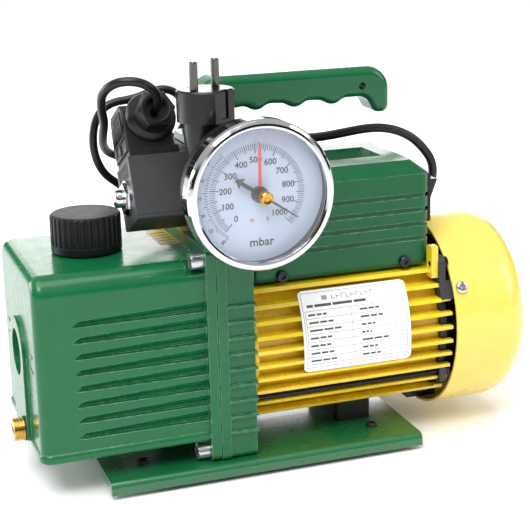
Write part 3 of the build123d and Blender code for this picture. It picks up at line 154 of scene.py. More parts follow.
def surface(name, colour, rough, metallic=0.0, coat=0.0, specular=0.5, mottle=0.05, patch=60.0, grain=0.02,
            grain_scale=1400.0, gloss_span=0.08, soft=0.35, edge_wear_and_highlight=None, streak=(1, 1, 1), speckle=None,
            alpha=1.0, sheen=0.0, front=None):
    """Principled material with colour mottling, uneven gloss, surface grain, softened edges and a lighter
    edge colour.

    patch and grain_scale are noise scales per metre. grain (the bump height) and soft (the edge radius) are
    in mm. The edge colour is a painted highlight on green and yellow paint and rubbed wear elsewhere; speckle
    is the colour of small flecks, streak stretches the noise, and front is (x, colour) for what lies forward
    of that x.
    """
    mat = bpy.data.materials.new(name)
    mat.use_nodes = True
    tree = mat.node_tree
    new, link = tree.nodes.new, tree.links.new
    shader = tree.nodes["Principled BSDF"]
    shader.inputs["Metallic"].default_value = metallic
    shader.inputs["Coat Weight"].default_value = coat
    shader.inputs["Coat Roughness"].default_value = 0.12
    shader.inputs["Specular IOR Level"].default_value = specular
    shader.inputs["Sheen Weight"].default_value = sheen
    shader.inputs["Alpha"].default_value = alpha
    coords = new("ShaderNodeTexCoord")
    mapping = new("ShaderNodeMapping")
    mapping.inputs["Scale"].default_value = streak
    link(coords.outputs["Object"], mapping.inputs["Vector"])

    def set_range(node, values):
        for key, value in zip(("From Min", "From Max", "To Min", "To Max"), values):
            node.inputs[key].default_value = value

    def noise(scale, detail, *span_values):
        """Noise remapped by (from low, from high, to low, to high)."""
        texture = new("ShaderNodeTexNoise")
        texture.inputs["Scale"].default_value = scale
        texture.inputs["Detail"].default_value = detail
        link(mapping.outputs["Vector"], texture.inputs["Vector"])
        span = new("ShaderNodeMapRange")
        set_range(span, span_values)
        link(texture.outputs["Fac"], span.inputs["Value"])
        return span.outputs[0]

    def blend(factor, a, b):
        mix = new("ShaderNodeMix")
        mix.data_type = "RGBA"
        link(factor, mix.inputs["Factor"])
        for socket, value in ((mix.inputs[6], a), (mix.inputs[7], b)):
            if isinstance(value, tuple):
                socket.default_value = value
            else:
                link(value, socket)
        return mix.outputs[2]

    dark = tuple(c * (1 - mottle) for c in colour[:3]) + (1.0,)
    light = tuple(min(1, c * (1 + mottle)) for c in colour[:3]) + (1.0,)
    paint = blend(noise(patch, 4, 0.35, 0.65, 0, 1), dark, light)
    if front:
        across = new("ShaderNodeSeparateXYZ")
        link(coords.outputs["Object"], across.inputs[0])
        ahead_of = new("ShaderNodeMath")
        ahead_of.operation = "LESS_THAN"
        ahead_of.inputs[1].default_value = front[0]
        link(across.outputs["X"], ahead_of.inputs[0])
        paint = blend(ahead_of.outputs[0], paint, front[1])
    if speckle:
        paint = blend(noise(grain_scale * 0.8, 2, 0.58, 0.66, 0, 1), paint, speckle)
    bevel = new("ShaderNodeBevel")
    bevel.samples = 4
    bevel.inputs["Radius"].default_value = soft * MM
    # Lighter colour on edges, where the bevelled normal leaves the face's normal: a painted highlight on the
    # green and yellow paint, rubbed wear on the other finishes.
    if edge_wear_and_highlight:
        geometry = new("ShaderNodeNewGeometry")
        dot = new("ShaderNodeVectorMath")
        dot.operation = "DOT_PRODUCT"
        link(bevel.outputs["Normal"], dot.inputs[0])
        link(geometry.outputs["Normal"], dot.inputs[1])
        edge = new("ShaderNodeMapRange")
        set_range(edge, (0.97, 0.80, 0, 1))
        link(dot.outputs["Value"], edge.inputs["Value"])
        both = new("ShaderNodeMath")
        both.operation = "MULTIPLY"
        link(edge.outputs[0], both.inputs[0])
        link(noise(220, 3, 0.35, 0.7, 0.15, 0.9), both.inputs[1])
        paint = blend(both.outputs[0], paint, edge_wear_and_highlight)
    link(paint, shader.inputs["Base Color"])
    gloss = noise(patch * 2.6, 5, 0.3, 0.7, rough - gloss_span / 2, rough + gloss_span / 2)
    link(gloss, shader.inputs["Roughness"])
    bump = new("ShaderNodeBump")
    bump.inputs["Distance"].default_value = grain * MM
    bump.inputs["Strength"].default_value = 1.0
    link(noise(grain_scale, 3, 0.0, 1.0, 0, 1), bump.inputs["Height"])
    link(bevel.outputs["Normal"], bump.inputs["Normal"])
    link(bump.outputs["Normal"], shader.inputs["Normal"])
    MATERIALS[name] = mat


# Pale green painted on the edges of the green paint: a painted highlight where rounded edges catch the light.
GREEN_EDGE_HIGHLIGHT = rgb(186, 230, 208)
surface("green_cast", rgb(12, 98, 55), 0.28, coat=0.3, specular=0.26, mottle=0.045, grain=0.012,
        grain_scale=520,
        soft=0.7, edge_wear_and_highlight=GREEN_EDGE_HIGHLIGHT)
surface("green_sheet", rgb(18, 98, 56), 0.3, coat=0.8, specular=0.5, mottle=0.05, grain=0.014,
        grain_scale=600,
        edge_wear_and_highlight=GREEN_EDGE_HIGHLIGHT)
surface("green_handle", rgb(4, 90, 52), 0.3, coat=0.4, mottle=0.04, grain=0.016, grain_scale=700, soft=0.5,
        specular=0.25)
surface("green_box", rgb(6, 84, 46), 0.3, coat=0.25, mottle=0.045, grain=0.012, grain_scale=520, soft=0.7,
        specular=0.2, edge_wear_and_highlight=GREEN_EDGE_HIGHLIGHT)
surface("green_gasket", rgb(8, 60, 36), 0.6, mottle=0.1, grain=0.02)
# The pale yellow edge colour of the yellow paint is a painted highlight.
surface("yellow_cast", rgb(234, 202, 30), 0.26, coat=0.5, mottle=0.045, patch=45, grain=0.02,
        grain_scale=420,
        soft=0.7, edge_wear_and_highlight=rgb(255, 240, 180))
surface("yellow_sheet", rgb(238, 212, 96), 0.3, coat=0.45, mottle=0.03, grain=0.012, grain_scale=700,
        soft=0.5)
surface("dark_cast", rgb(52, 54, 56), 0.45, metallic=0.3, mottle=0.15, grain=0.08, grain_scale=700)
surface("cast_iron", rgb(88, 88, 90), 0.5, metallic=0.8, mottle=0.15, grain=0.1, grain_scale=900)
surface("steel", rgb(168, 170, 172), 0.3, metallic=1.0, mottle=0.06, grain=0.01, streak=(1, 6, 6))
surface("black_steel", rgb(46, 46, 50), 0.24, metallic=0.85, mottle=0.12, grain=0.01,
        edge_wear_and_highlight=rgb(150, 150, 152))
surface("screw_steel", rgb(40, 40, 43), 0.22, metallic=0.85, mottle=0.12, grain=0.01,
        edge_wear_and_highlight=rgb(160, 160, 162), front=(-0.025, rgb(196, 200, 204)))
surface("pin_steel", rgb(104, 102, 100), 0.2, metallic=1.0, mottle=0.06, grain=0.006, streak=(1, 1, 4))
surface("chrome", rgb(214, 215, 218), 0.07, metallic=1.0, mottle=0.02, grain=0.002, gloss_span=0.04,
        soft=0.25)
surface("brass", rgb(206, 160, 74), 0.24, metallic=1.0, mottle=0.08, grain=0.01, streak=(1, 5, 1),
        edge_wear_and_highlight=rgb(240, 214, 150))
surface("plain_aluminium", rgb(176, 178, 180), 0.35, metallic=1.0, mottle=0.06, grain=0.012)
surface("copper_stand_in", rgb(170, 92, 46), 0.35, metallic=0.9, mottle=0.12, grain=0.08, streak=(1, 1, 9))
surface("vane_composite", rgb(58, 44, 36), 0.5, mottle=0.14, grain=0.03, streak=(7, 1, 1))
surface("filter_felt", rgb(196, 190, 176), 0.9, mottle=0.12, grain=0.3, grain_scale=1600, sheen=0.4)
surface("seal_rubber", rgb(20, 20, 21), 0.55, mottle=0.1, grain=0.02)
surface("black_rubber", rgb(22, 22, 23), 0.58, mottle=0.14, grain=0.05, grain_scale=900,
        edge_wear_and_highlight=rgb(60, 60, 62))
surface("cord_rubber", rgb(13, 13, 15), 0.38, specular=0.38, mottle=0.12, grain=0.02, grain_scale=900,
        coat=0.1)
surface("black_plastic", rgb(17, 17, 19), 0.36, specular=0.35, mottle=0.08, grain=0.05, grain_scale=1300,
        edge_wear_and_highlight=rgb(78, 80, 84))
surface("cap_plastic", rgb(13, 13, 15), 0.46, specular=0.28, mottle=0.1, grain=0.06, grain_scale=1200,
        edge_wear_and_highlight=rgb(92, 94, 98))
surface("gloss_black", rgb(14, 14, 16), 0.3, specular=0.35, mottle=0.06, grain=0.008, coat=0.15,
        edge_wear_and_highlight=rgb(70, 72, 76))
surface("black_anodised", rgb(26, 26, 29), 0.32, metallic=0.4, mottle=0.1, grain=0.01, streak=(5, 1, 1),
        edge_wear_and_highlight=rgb(120, 120, 124))
surface("charcoal_plastic", rgb(50, 50, 53), 0.42, specular=0.5, mottle=0.1, grain=0.12, grain_scale=1500,
        speckle=rgb(50, 50, 54), edge_wear_and_highlight=rgb(120, 120, 124))
surface("dark_paint", rgb(22, 23, 25), 0.3, mottle=0.06, grain=0.02, coat=0.2)
surface("dial_white", rgb(188, 201, 226), 0.55, mottle=0.012, patch=30, grain=0.004, coat=0.1, soft=0.1)
surface("dial_ink", rgb(22, 26, 44), 0.5, mottle=0.1, grain=0.004, soft=0.05)
surface("hand_black", rgb(14, 14, 18), 0.4, mottle=0.08, grain=0.004, soft=0.1)
surface("hand_red", rgb(206, 30, 26), 0.42, mottle=0.05, grain=0.004, soft=0.1)
surface("dial_orange", rgb(226, 126, 40), 0.45, mottle=0.05, grain=0.004, soft=0.05)
surface("label_white", rgb(243, 244, 245), 0.42, mottle=0.02, grain=0.012, grain_scale=500, soft=0.1)
surface("label_grey", rgb(150, 153, 158), 0.5, mottle=0.06, grain=0.006, soft=0.05)
surface("label_ink", rgb(74, 76, 82), 0.5, mottle=0.08, grain=0.006, soft=0.05)
surface("label_yellow", rgb(240, 206, 40), 0.4, mottle=0.05, grain=0.012, grain_scale=500, soft=0.1)
surface("gauge_glass", rgb(245, 248, 250), 0.04, specular=0.8, mottle=0.01, grain=0.001, soft=0.1,
        alpha=0.07, gloss_span=0.02)
surface("oil_glass", rgb(120, 96, 40), 0.08, specular=0.7, mottle=0.1, grain=0.004, soft=0.3, alpha=0.55,
        gloss_span=0.04)
surface("floor_paper", rgb(247, 247, 248), 0.75, mottle=0.006, patch=3, grain=0.02, soft=0.1)

# CAD nodes whose finish isn't the one of their material slot.
OWN_FINISH = {"terminal_box": "green_box", "static_seals": "green_gasket", "socket_screws": "screw_steel",
              "plug_pins": "pin_steel", "handle": "green_handle", "filler_cap": "cap_plastic",
              "gauge_glass": "gauge_glass", "sight_glass": "oil_glass", "gauge_pointer": "hand_black",
              "set_pointer": "brass"}
for part in frame["record"]["subparts"]:
    node = NODES[part["node"]]
    chosen = MATERIALS[OWN_FINISH.get(part["node"], part["material_slot"])]
    if not node.material_slots:
        node.data.materials.append(chosen)
    for holder in node.material_slots:
        holder.material = chosen


# ---- pieces and floor ----------------------------------------------------------------------------
def new_object(name, data, body, material):
    """Links a piece and gives it its body and material; the floor has no body."""
    piece = bpy.data.objects.new(name, data)
    bpy.context.scene.collection.objects.link(piece)
    data.materials.append(MATERIALS[material])
    if body:
        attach(piece, body)
    return piece


def mesh_object(name, bm, body, material, smooth=None):
    """A mesh piece; smooth is the largest angle, in degrees, that is still shaded round."""
    bmesh.ops.recalc_face_normals(bm, faces=bm.faces)
    data = bpy.data.meshes.new(name)
    bm.to_mesh(data)
    bm.free()
    if smooth:
        data.shade_smooth()
        data.set_sharp_from_angle(angle=radians(smooth))
    return new_object(name, data, body, material)


FLOOR_HALF, FLOOR_CELLS = 9.0, 8
floor_mesh = bmesh.new()
bmesh.ops.create_grid(floor_mesh, x_segments=FLOOR_CELLS, y_segments=FLOOR_CELLS, size=FLOOR_HALF)
mesh_object("floor", floor_mesh, None, "floor_paper")


def circle_step(guide, other, k, sides):
    """Unit vector at step k of a circle in the plane of guide and other."""
    return guide * cos(2 * pi * k / sides) + other * sin(2 * pi * k / sides)


# ---- cords ---------------------------------------------------------------------------------------
LEAD_D, CORD_D = 0.0053, 0.006
# Control points in metres. The supply cord runs through CORD_POINTS, the coil's turns and TAIL_POINTS.
LEAD_POINTS = [
    (-0.0525, -0.016963, 0.221454), (-0.0525, -0.025873, 0.225994), (-0.0537, -0.0336, 0.2322),
    (-0.0585, -0.0389, 0.2385), (-0.066, -0.0399, 0.2428), (-0.0748, -0.0374, 0.2436),
    (-0.0818, -0.0318, 0.2408), (-0.0853, -0.024, 0.2343), (-0.0836, -0.0146, 0.2248),
    (-0.08, -0.0048, 0.2152), (-0.0789, 0.0063, 0.2062), (-0.0768, 0.018, 0.1981), (-0.072, 0.0288, 0.191),
    (-0.0645, 0.0355, 0.1865), (-0.055, 0.0382, 0.1846), (-0.0455, 0.0384, 0.1854),
    (-0.036, 0.0378, 0.1884), (-0.0273, 0.0372, 0.1932), (-0.0201, 0.037, 0.2001),
    (-0.0172, 0.0371, 0.2088), (-0.0186, 0.0375, 0.2166), (-0.0226, 0.038, 0.2228),
    (-0.0292, 0.0388, 0.2262), (-0.0368, 0.0396, 0.2258), (-0.0446, 0.0406, 0.2228),
    (-0.0534, 0.0414, 0.2206), (-0.0624, 0.042, 0.2199), (-0.0702, 0.042, 0.2164), (-0.0752, 0.042, 0.2096),
    (-0.0774, 0.042, 0.2006), (-0.0776, 0.042, 0.1912), (-0.0756, 0.042, 0.182), (-0.0713, 0.042, 0.1742),
    (-0.065, 0.0418, 0.1687), (-0.057, 0.041, 0.1629), (-0.048, 0.0396, 0.1586), (-0.0385, 0.0376, 0.1552),
    (-0.029, 0.0352, 0.1523), (-0.019, 0.033, 0.15), (-0.006, 0.033, 0.15)]
CORD_POINTS = [
    (0.1205, 0.02, 0.139), (0.133, 0.02, 0.139), (0.1438, 0.02, 0.1456), (0.1492, 0.02, 0.156),
    (0.1484, 0.02, 0.1674), (0.142, 0.02, 0.1766), (0.1337, 0.02, 0.1846), (0.1236, 0.02, 0.19),
    (0.112, 0.02, 0.1931), (0.0993, 0.0198, 0.1936), (0.086, 0.0196, 0.1922), (0.0725, 0.0204, 0.1906),
    (0.0605, 0.0235, 0.1896), (0.05, 0.0295, 0.1892), (0.0415, 0.038, 0.1876), (0.0356, 0.048, 0.183),
    (0.032, 0.0576, 0.1745), (0.0306, 0.0658, 0.161), (0.03, 0.0705, 0.141), (0.0295, 0.0725, 0.117),
    (0.0295, 0.0735, 0.089), (0.0305, 0.0755, 0.061), (0.034, 0.0795, 0.038), (0.0405, 0.086, 0.02),
    (0.0495, 0.0945, 0.0085), (0.058, 0.106, 0.0036), (0.0615, 0.119, 0.0032)]
TAIL_POINTS = [
    (-0.005, 0.127, 0.0084), (-0.006, 0.113, 0.0092), (-0.0065, 0.0995, 0.0125), (-0.0045, 0.0875, 0.0195),
    (-0.0005, 0.0795, 0.033), (0.0035, 0.0755, 0.052), (0.007, 0.074, 0.075), (0.01, 0.073, 0.099),
    (0.013, 0.0715, 0.122), (0.0155, 0.0685, 0.143), (0.0185, 0.062, 0.161), (0.022, 0.0515, 0.1755),
    (0.0255, 0.037, 0.186), (0.0285, 0.02, 0.191), (0.03, 0.003, 0.1935), (0.0285, -0.014, 0.1965),
    (0.0225, -0.0285, 0.2), (0.012, -0.039, 0.203), (0.0, -0.0455, 0.205)]
COIL_X, COIL_Y = 0.025, 0.128
# Turns of the put-away coil: (turns since the cord reaches it, radius, height), in metres.
COIL_KEYS = [(0.0, 0.0376, 0.0032), (0.16, 0.0387, 0.0032), (0.5, 0.0384, 0.0032), (0.75, 0.0366, 0.0032),
             (0.9, 0.0340, 0.0032), (1.0, 0.0316, 0.0032), (1.3, 0.0322, 0.0032), (1.75, 0.0318, 0.0032),
             (1.9, 0.0284, 0.0032), (2.0, 0.0256, 0.0032), (2.45, 0.0258, 0.0032), (2.62, 0.0262, 0.0044),
             (2.8, 0.0278, 0.0082), (3.0, 0.0289, 0.0088), (3.3, 0.0296, 0.0087), (3.5439, 0.03, 0.0084)]
COIL_START_ANGLE = atan2(CORD_POINTS[-1][1] - COIL_Y, CORD_POINTS[-1][0] - COIL_X)
POINTS_PER_TURN = 16


def coil_points():
    """Control points of the coil's turns, between the cord's last point and the tail's first."""
    found = []
    last = COIL_KEYS[-1][0]
    count = round(last * POINTS_PER_TURN)
    for i in range(1, count):
        t = last * i / count
        for (t0, r0, z0), (t1, r1, z1) in zip(COIL_KEYS, COIL_KEYS[1:]):
            if t0 <= t <= t1:
                share = (t - t0) / (t1 - t0)
                r, z = r0 + (r1 - r0) * share, z0 + (z1 - z0) * share
        angle = COIL_START_ANGLE + 2 * pi * t
        found.append((COIL_X + r * cos(angle), COIL_Y + r * sin(angle), z))
    return found


def cord_curve(name, points, diameter):
    """Round rubber cord on a NURBS spline."""
    curve = bpy.data.curves.new(name, "CURVE")
    curve.dimensions = "3D"
    curve.bevel_depth = diameter / 2
    curve.bevel_resolution = 7
    curve.resolution_u = 10
    curve.use_fill_caps = True
    spline = curve.splines.new("NURBS")
    spline.points.add(len(points) - 1)
    for point, place in zip(spline.points, points):
        point.co = (*place, 1)
    spline.order_u = 3
    spline.use_endpoint_u = True
    return new_object(name, curve, "pump", "cord_rubber")


def centreline(cord):
    """Points along a cord's own spline."""
    bare = cord.copy()
    bare.data = cord.data.copy()
    bare.data.bevel_depth = 0
    bare.data.use_fill_caps = False
    bare.parent = None
    line = bpy.data.meshes.new_from_object(bare)
    points = [v.co.copy() for v in line.vertices]
    bpy.data.objects.remove(bare)
    return points


def walk(points, distance):
    """(point, direction) a distance along a line."""
    for a, b in zip(points, points[1:]):
        step = (b - a).length
        if distance <= step:
            return a.lerp(b, distance / step), (b - a).normalized()
        distance -= step
    return points[-1], (points[-1] - points[-2]).normalized()


supply = cord_curve("supply_cord", CORD_POINTS + coil_points() + TAIL_POINTS, CORD_D)
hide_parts("power_cord", "cord_coil", "cord_tail")
lead = cord_curve("coil_lead", LEAD_POINTS, LEAD_D)
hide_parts("solenoid_lead")


def rings_along(line, sections, sides=28):
    """Closed skin of round sections (distance, radius) along a line."""
    bm = bmesh.new()
    before = None
    guide = None
    for distance, radius in sections:
        centre, ahead = walk(line, distance)
        if guide is None:
            guide = ahead.orthogonal().normalized()
        guide = (guide - ahead * guide.dot(ahead)).normalized()
        other = ahead.cross(guide)
        ring = [bm.verts.new(centre + circle_step(guide, other, k, sides) * radius) for k in range(sides)]
        if before:
            for k in range(sides):
                bm.faces.new((before[k], before[(k + 1) % sides], ring[(k + 1) % sides], ring[k]))
        else:
            bm.faces.new(ring)
        before = ring
    bm.faces.new(before)
    return bm


# One rib of a strain relief: (share of the pitch, rise above the taper in metres).
RIB = ((0.0, 0.0), (0.1, 0.0002), (0.55, 0.0002), (0.62, 0.0), (0.64, -0.0008), (0.96, -0.0009))


def ribbed_relief(name, line, length, r0, r1, ribs, start):
    """Tapered strain relief with flexing ribs."""
    sections = []
    pitch = length / ribs
    for i in range(ribs):
        r = r0 + (r1 - r0) * i / (ribs - 1)
        at = start + i * pitch
        sections += [(at + pitch * share, r + rise) for share, rise in RIB]
    sections.append((start + length, r1 - 0.0006))
    return mesh_object(name, rings_along(line, sections), "pump", "black_rubber", smooth=35)


supply_line = centreline(supply)
box_relief = ribbed_relief("box_strain_relief", supply_line, 0.030, 0.0058, 0.0040, 8, start=-0.0005)


# ---- small shapes --------------------------------------------------------------------------------
def lathe(name, profile, centre, axis, body, material, sides=96, smooth=30):
    """Revolves (radius, distance along the axis) points about an axis through centre."""
    bm = bmesh.new()
    axis = Vector(axis).normalized()
    guide = axis.orthogonal().normalized()
    other = axis.cross(guide)
    rings = []
    for r, d in profile:
        rings.append([bm.verts.new(Vector(centre) + axis * d + circle_step(guide, other, k, sides) * r)
                      for k in range(sides)])
    for a, b in zip(rings, rings[1:] + rings[:1]):
        for k in range(sides):
            bm.faces.new((a[k], a[(k + 1) % sides], b[(k + 1) % sides], b[k]))
    return mesh_object(name, bm, body, material, smooth=smooth)


def turned(name, profile, centre, axis, body, material, depth=0.0, band=(0, 0), sides=96):
    """Turned solid whose profile starts and ends on the axis, with an optional knurled band of some depth."""
    bm = bmesh.new()
    axis = Vector(axis).normalized()
    guide = axis.orthogonal().normalized()
    other = axis.cross(guide)
    centre = Vector(centre)
    rings = []
    for r, d in profile[1:-1]:
        ring = []
        for k in range(sides):
            cut = depth * (k % 2) if band[0] <= d <= band[1] else 0.0
            ring.append(bm.verts.new(centre + axis * d + circle_step(guide, other, k, sides) * (r - cut)))
        rings.append(ring)
    tip = [bm.verts.new(centre + axis * profile[0][1]), bm.verts.new(centre + axis * profile[-1][1])]
    for k in range(sides):
        n = (k + 1) % sides
        bm.faces.new((tip[0], rings[0][k], rings[0][n]))
        bm.faces.new((tip[1], rings[-1][n], rings[-1][k]))
        for a, b in zip(rings, rings[1:]):
            bm.faces.new((a[k], a[n], b[n], b[k]))
    return mesh_object(name, bm, body, material, smooth=28)


def slab(bm, outline, normal, thickness):
    """Adds a closed flat prism on a ring of points."""
    lift = Vector(normal).normalized() * thickness
    low = [bm.verts.new(Vector(p)) for p in outline]
    high = [bm.verts.new(Vector(p) + lift) for p in outline]
    bm.faces.new(low)
    bm.faces.new(high)
    n = len(low)
    for k in range(n):
        bm.faces.new((low[k], low[(k + 1) % n], high[(k + 1) % n], high[k]))


# ---- gauge: print, hands and knob ----------------------------------------------------------------
DIAL_X, DIAL_Z, DIAL_FACE = -0.0137, 0.183, -0.0891
INK = 0.00012
SPOT, KEYHOLE, UNIT_AT = (-0.0171, 0.1675), (-0.0079, 0.1680), (DIAL_X + 0.002, DIAL_Z - 0.0285)
# Dial scales: radii in mm, angles in degrees clockwise from the top.
ZERO_ANGLE, ANGLE_PER_UNIT = -137.0, 0.271
TICK_R, NUMBER_R, LAST_NUMBER_R = 28.2, 18.9, 18.0
OUTER_TICK_R, OUTER_TICKS, OUTER_START, OUTER_SPAN = 29.2, 36, -42, 101
OUTER_NUMBER_R, OUTER_NUMBER_START, OUTER_NUMBER_STEP = 33.7, -56, 17.2


def on_dial(r, angle):
    """Point on the dial, angle clockwise from the top in degrees, r in mm."""
    a = radians(angle)
    return (DIAL_X + r * MM * sin(a), DIAL_FACE, DIAL_Z + r * MM * cos(a))


def reading_angle(value):
    """Angle of a reading on the scale, in degrees clockwise from the top."""
    return ZERO_ANGLE + ANGLE_PER_UNIT * value


def dial_bar(bm, r0, r1, angle, width):
    """Printed radial stroke between two radii, in mm."""
    a = radians(angle)
    side = Vector((cos(a), 0, -sin(a))) * width * MM / 2
    p0, p1 = Vector(on_dial(r0, angle)), Vector(on_dial(r1, angle))
    slab(bm, [p0 - side, p0 + side, p1 + side, p1 - side], (0, -1, 0), INK)


def add_text(bm, text, size, place, turn=0.0):
    """Adds a word as solid letters on the dial, centred at place, turned clockwise."""
    data = bpy.data.curves.new("word", "FONT")
    data.body = text
    data.size = size * MM
    data.align_x, data.align_y = "CENTER", "CENTER"
    data.extrude = INK / 2
    data.offset = size * MM * 0.012
    data.resolution_u = 3
    word = bpy.data.objects.new("word", data)
    solid = bpy.data.meshes.new_from_object(word)
    upright = Matrix.Rotation(pi / 2, 4, "X")
    solid.transform(Matrix.Translation(place) @ Matrix.Rotation(radians(turn), 4, "Y") @ upright)
    bm.from_mesh(solid)
    bpy.data.objects.remove(word)


def dial_circle(bm, place, r, sides):
    """Printed disc at (x, z)."""
    outline = [(place[0] + r * cos(2 * pi * k / sides), DIAL_FACE, place[1] + r * sin(2 * pi * k / sides))
               for k in range(sides)]
    slab(bm, outline, (0, -1, 0), INK)


def dial_print():
    """Main scale 0 to 1000, the outer scale on the left, the unit, a spot and a keyhole mark."""
    ticks = bmesh.new()
    for value in range(0, 1001, 10):
        inner, width = 24.7, 0.24
        if value % 100 == 0:
            inner, width = 22.4, 0.4
        elif value % 50 == 0:
            inner, width = 23.6, 0.34
        dial_bar(ticks, inner, TICK_R, reading_angle(value), width)
    for k in range(OUTER_TICKS):
        angle = OUTER_START - OUTER_SPAN * k / (OUTER_TICKS - 1)
        dial_bar(ticks, OUTER_TICK_R, 30.9 if k % 5 else 32.0, angle, 0.3)
    numerals = bmesh.new()
    for value in range(0, 1001, 100):
        at = on_dial(NUMBER_R if value < 1000 else LAST_NUMBER_R, reading_angle(value))
        add_text(numerals, str(value), 5.0, (at[0], DIAL_FACE - INK / 2, at[2]))
    for k, value in enumerate((5, 10, 15, 20, 25, 30)):
        angle = OUTER_NUMBER_START - OUTER_NUMBER_STEP * k
        at = on_dial(OUTER_NUMBER_R, angle)
        add_text(numerals, str(value), 2.6, (at[0], DIAL_FACE - INK / 2, at[2]), turn=angle + 90)
    add_text(numerals, "mbar", 7.0, (UNIT_AT[0], DIAL_FACE - INK / 2, UNIT_AT[1]))
    mesh_object("dial_scale", ticks, "pump", "dial_ink")
    mesh_object("dial_numerals", numerals, "pump", "dial_ink")
    mark = bmesh.new()
    dial_circle(mark, SPOT, 0.0011, 20)
    mesh_object("dial_spot", mark, "pump", "dial_orange")
    keyhole = bmesh.new()
    dial_circle(keyhole, KEYHOLE, 0.0007, 16)
    slab(keyhole, [(-0.0083, DIAL_FACE, 0.1661), (-0.0075, DIAL_FACE, 0.1661), (-0.0077, DIAL_FACE, 0.1678),
                   (-0.0081, DIAL_FACE, 0.1678)], (0, -1, 0), INK)
    mesh_object("dial_keyhole", keyhole, "pump", "label_grey")


def hand_piece(name, outline, y, thickness, turn, body, material):
    """Flat hand from a half outline (half width, distance from the hub), mirrored."""
    bm = bmesh.new()
    a = radians(turn)
    along, across = Vector((sin(a), 0, cos(a))), Vector((cos(a), 0, -sin(a)))
    centre = Vector((DIAL_X, y, DIAL_Z))
    ring = [centre + along * d * MM + across * w * MM for w, d in outline]
    ring += [centre + along * d * MM - across * w * MM for w, d in reversed(outline)]
    slab(bm, ring, (0, 1, 0), thickness)
    return mesh_object(name, bm, body, material)


dial_print()
# Half outlines of the hands are (half width, distance from the hub) in mm. Profiles are (radius, distance
# along the axis) in metres.
SET_HAND = ((0.2, 30.0), (0.75, 24.0), (0.95, 5.0), (1.1, 0.0), (0.8, -3.3))
READING_ARROW = ((0.25, -16.0), (3.0, -12.2), (2.4, -11.6), (1.1, -12.9), (0.8, -9.0), (0.9, -3.0))
SET_HUB = ((0.0021, -0.0004), (0.0045, -0.0004), (0.0047, -0.0001), (0.0047, 0.0007), (0.0044, 0.001),
           (0.0021, 0.001))
SET_KNOB = ((0.0, 0.0), (0.0010, 0.0), (0.0012, 0.0003), (0.0020, 0.0003), (0.0024, 0.0001), (0.0031, 0.0),
            (0.0036, 0.0004), (0.0038, 0.0009), (0.0038, 0.0016), (0.0036, 0.0019), (0.0038, 0.0022),
            (0.0038, 0.0034), (0.0036, 0.0037), (0.0038, 0.0040), (0.0038, 0.0046), (0.0034, 0.0049),
            (0.0029, 0.0049), (0.0029, 0.0066), (0.0020, 0.0068), (0.0020, 0.0119), (0.0, 0.0119))
READING_BOSS = ((0, 0), (0.0030, 0.0), (0.0036, 0.0004), (0.0044, 0.0005), (0.0047, 0.0009), (0.0047, 0.0013),
                (0.0043, 0.0016), (0, 0.0016))
SET_HAND_Y, SET_HUB_Y, SET_KNOB_Y = -0.0946, -0.0949, -0.1065
READING_ARROW_Y, READING_BOSS_Y = -0.0925, -0.0936
SET_HAND_ANGLE, READING_ARROW_ANGLE = 0.5, 124
red_hand = hand_piece("set_hand_red", SET_HAND, SET_HAND_Y, 0.0006, SET_HAND_ANGLE, "setting_hand",
                      "hand_red")
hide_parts("set_pointer")
lathe("set_hand_hub", SET_HUB, (DIAL_X, SET_HUB_Y, DIAL_Z), (0, 1, 0), "setting_hand", "hand_black")
turned("set_knob", SET_KNOB, (DIAL_X, SET_KNOB_Y, DIAL_Z), (0, 1, 0), "setting_hand", "brass",
       depth=0.00018, band=(0.0006, 0.0047), sides=90)
hand_piece("reading_arrow", READING_ARROW, READING_ARROW_Y, 0.0009, READING_ARROW_ANGLE, "reading_hand",
           "hand_black")
turned("reading_boss", READING_BOSS, (DIAL_X, READING_BOSS_Y, DIAL_Z), (0, 1, 0), "reading_hand",
       "hand_black")


# ---- solenoid: gland boss, connector ribs and moulded bars on the coil ---------------------------
LEAN = radians(-27)
VALVE_AXIS_Y, VALVE_AXIS_Z = -14.0, 170.0
GLAND_OUT = Vector((0, -cos(LEAN), -sin(LEAN)))


def leaning(x, across, up):
    """Point in the coil's own leaning axes, in mm, in the frame."""
    y = VALVE_AXIS_Y + across * cos(LEAN) - up * sin(LEAN)
    z = VALVE_AXIS_Z + across * sin(LEAN) + up * cos(LEAN)
    return Vector((x, y, z)) * MM


def raised(bm, x, across, up, height):
    """Raised bar on the connector's or coil's front face; across and up are (low, high) pairs in mm."""
    slab(bm, [leaning(x, across[0], up[0]), leaning(x, across[1], up[0]), leaning(x, across[1], up[1]),
              leaning(x, across[0], up[1])], (-1, 0, 0), height * MM)


# Front faces and turned outlines of the connector, in mm; outlines are (radius, distance along the gland).
CONNECTOR_FACE, COIL_FACE = -70.1, -69.9
gland_root = leaning(-52.5, 0, 44.5)
GLAND_BOSS = ((10, 14), (15.6, 14), (15.6, 16.6), (15.2, 18.0), (14.2, 19.6), (12.8, 21.0), (12.0, 21.9),
              (10, 21.9))
GLAND_LIP = ((6.9, 30), (9.8, 30), (10.2, 32.6), (9.9, 33.5), (9.0, 33.9), (7.6, 33.6), (6.9, 32.6))
for name, outline in (("gland_boss", GLAND_BOSS), ("gland_lip", GLAND_LIP)):
    lathe(name, [(r * MM, d * MM) for r, d in outline], gland_root, GLAND_OUT, "pump", "black_plastic",
          smooth=40)
ribs = bmesh.new()
for k in range(6):
    raised(ribs, CONNECTOR_FACE, (-13.0 + 3.4 * k, -11.4 + 3.4 * k), (36, 51 - 0.5 * abs(k - 2)), 0.9)
raised(ribs, CONNECTOR_FACE, (8.5, 14.0), (28, 46), 0.7)
raised(ribs, CONNECTOR_FACE, (-14.5, 6.5), (32.6, 34.2), 0.8)
raised(ribs, CONNECTOR_FACE, (-4.0, 1.0), (26.5, 31.5), 1.1)
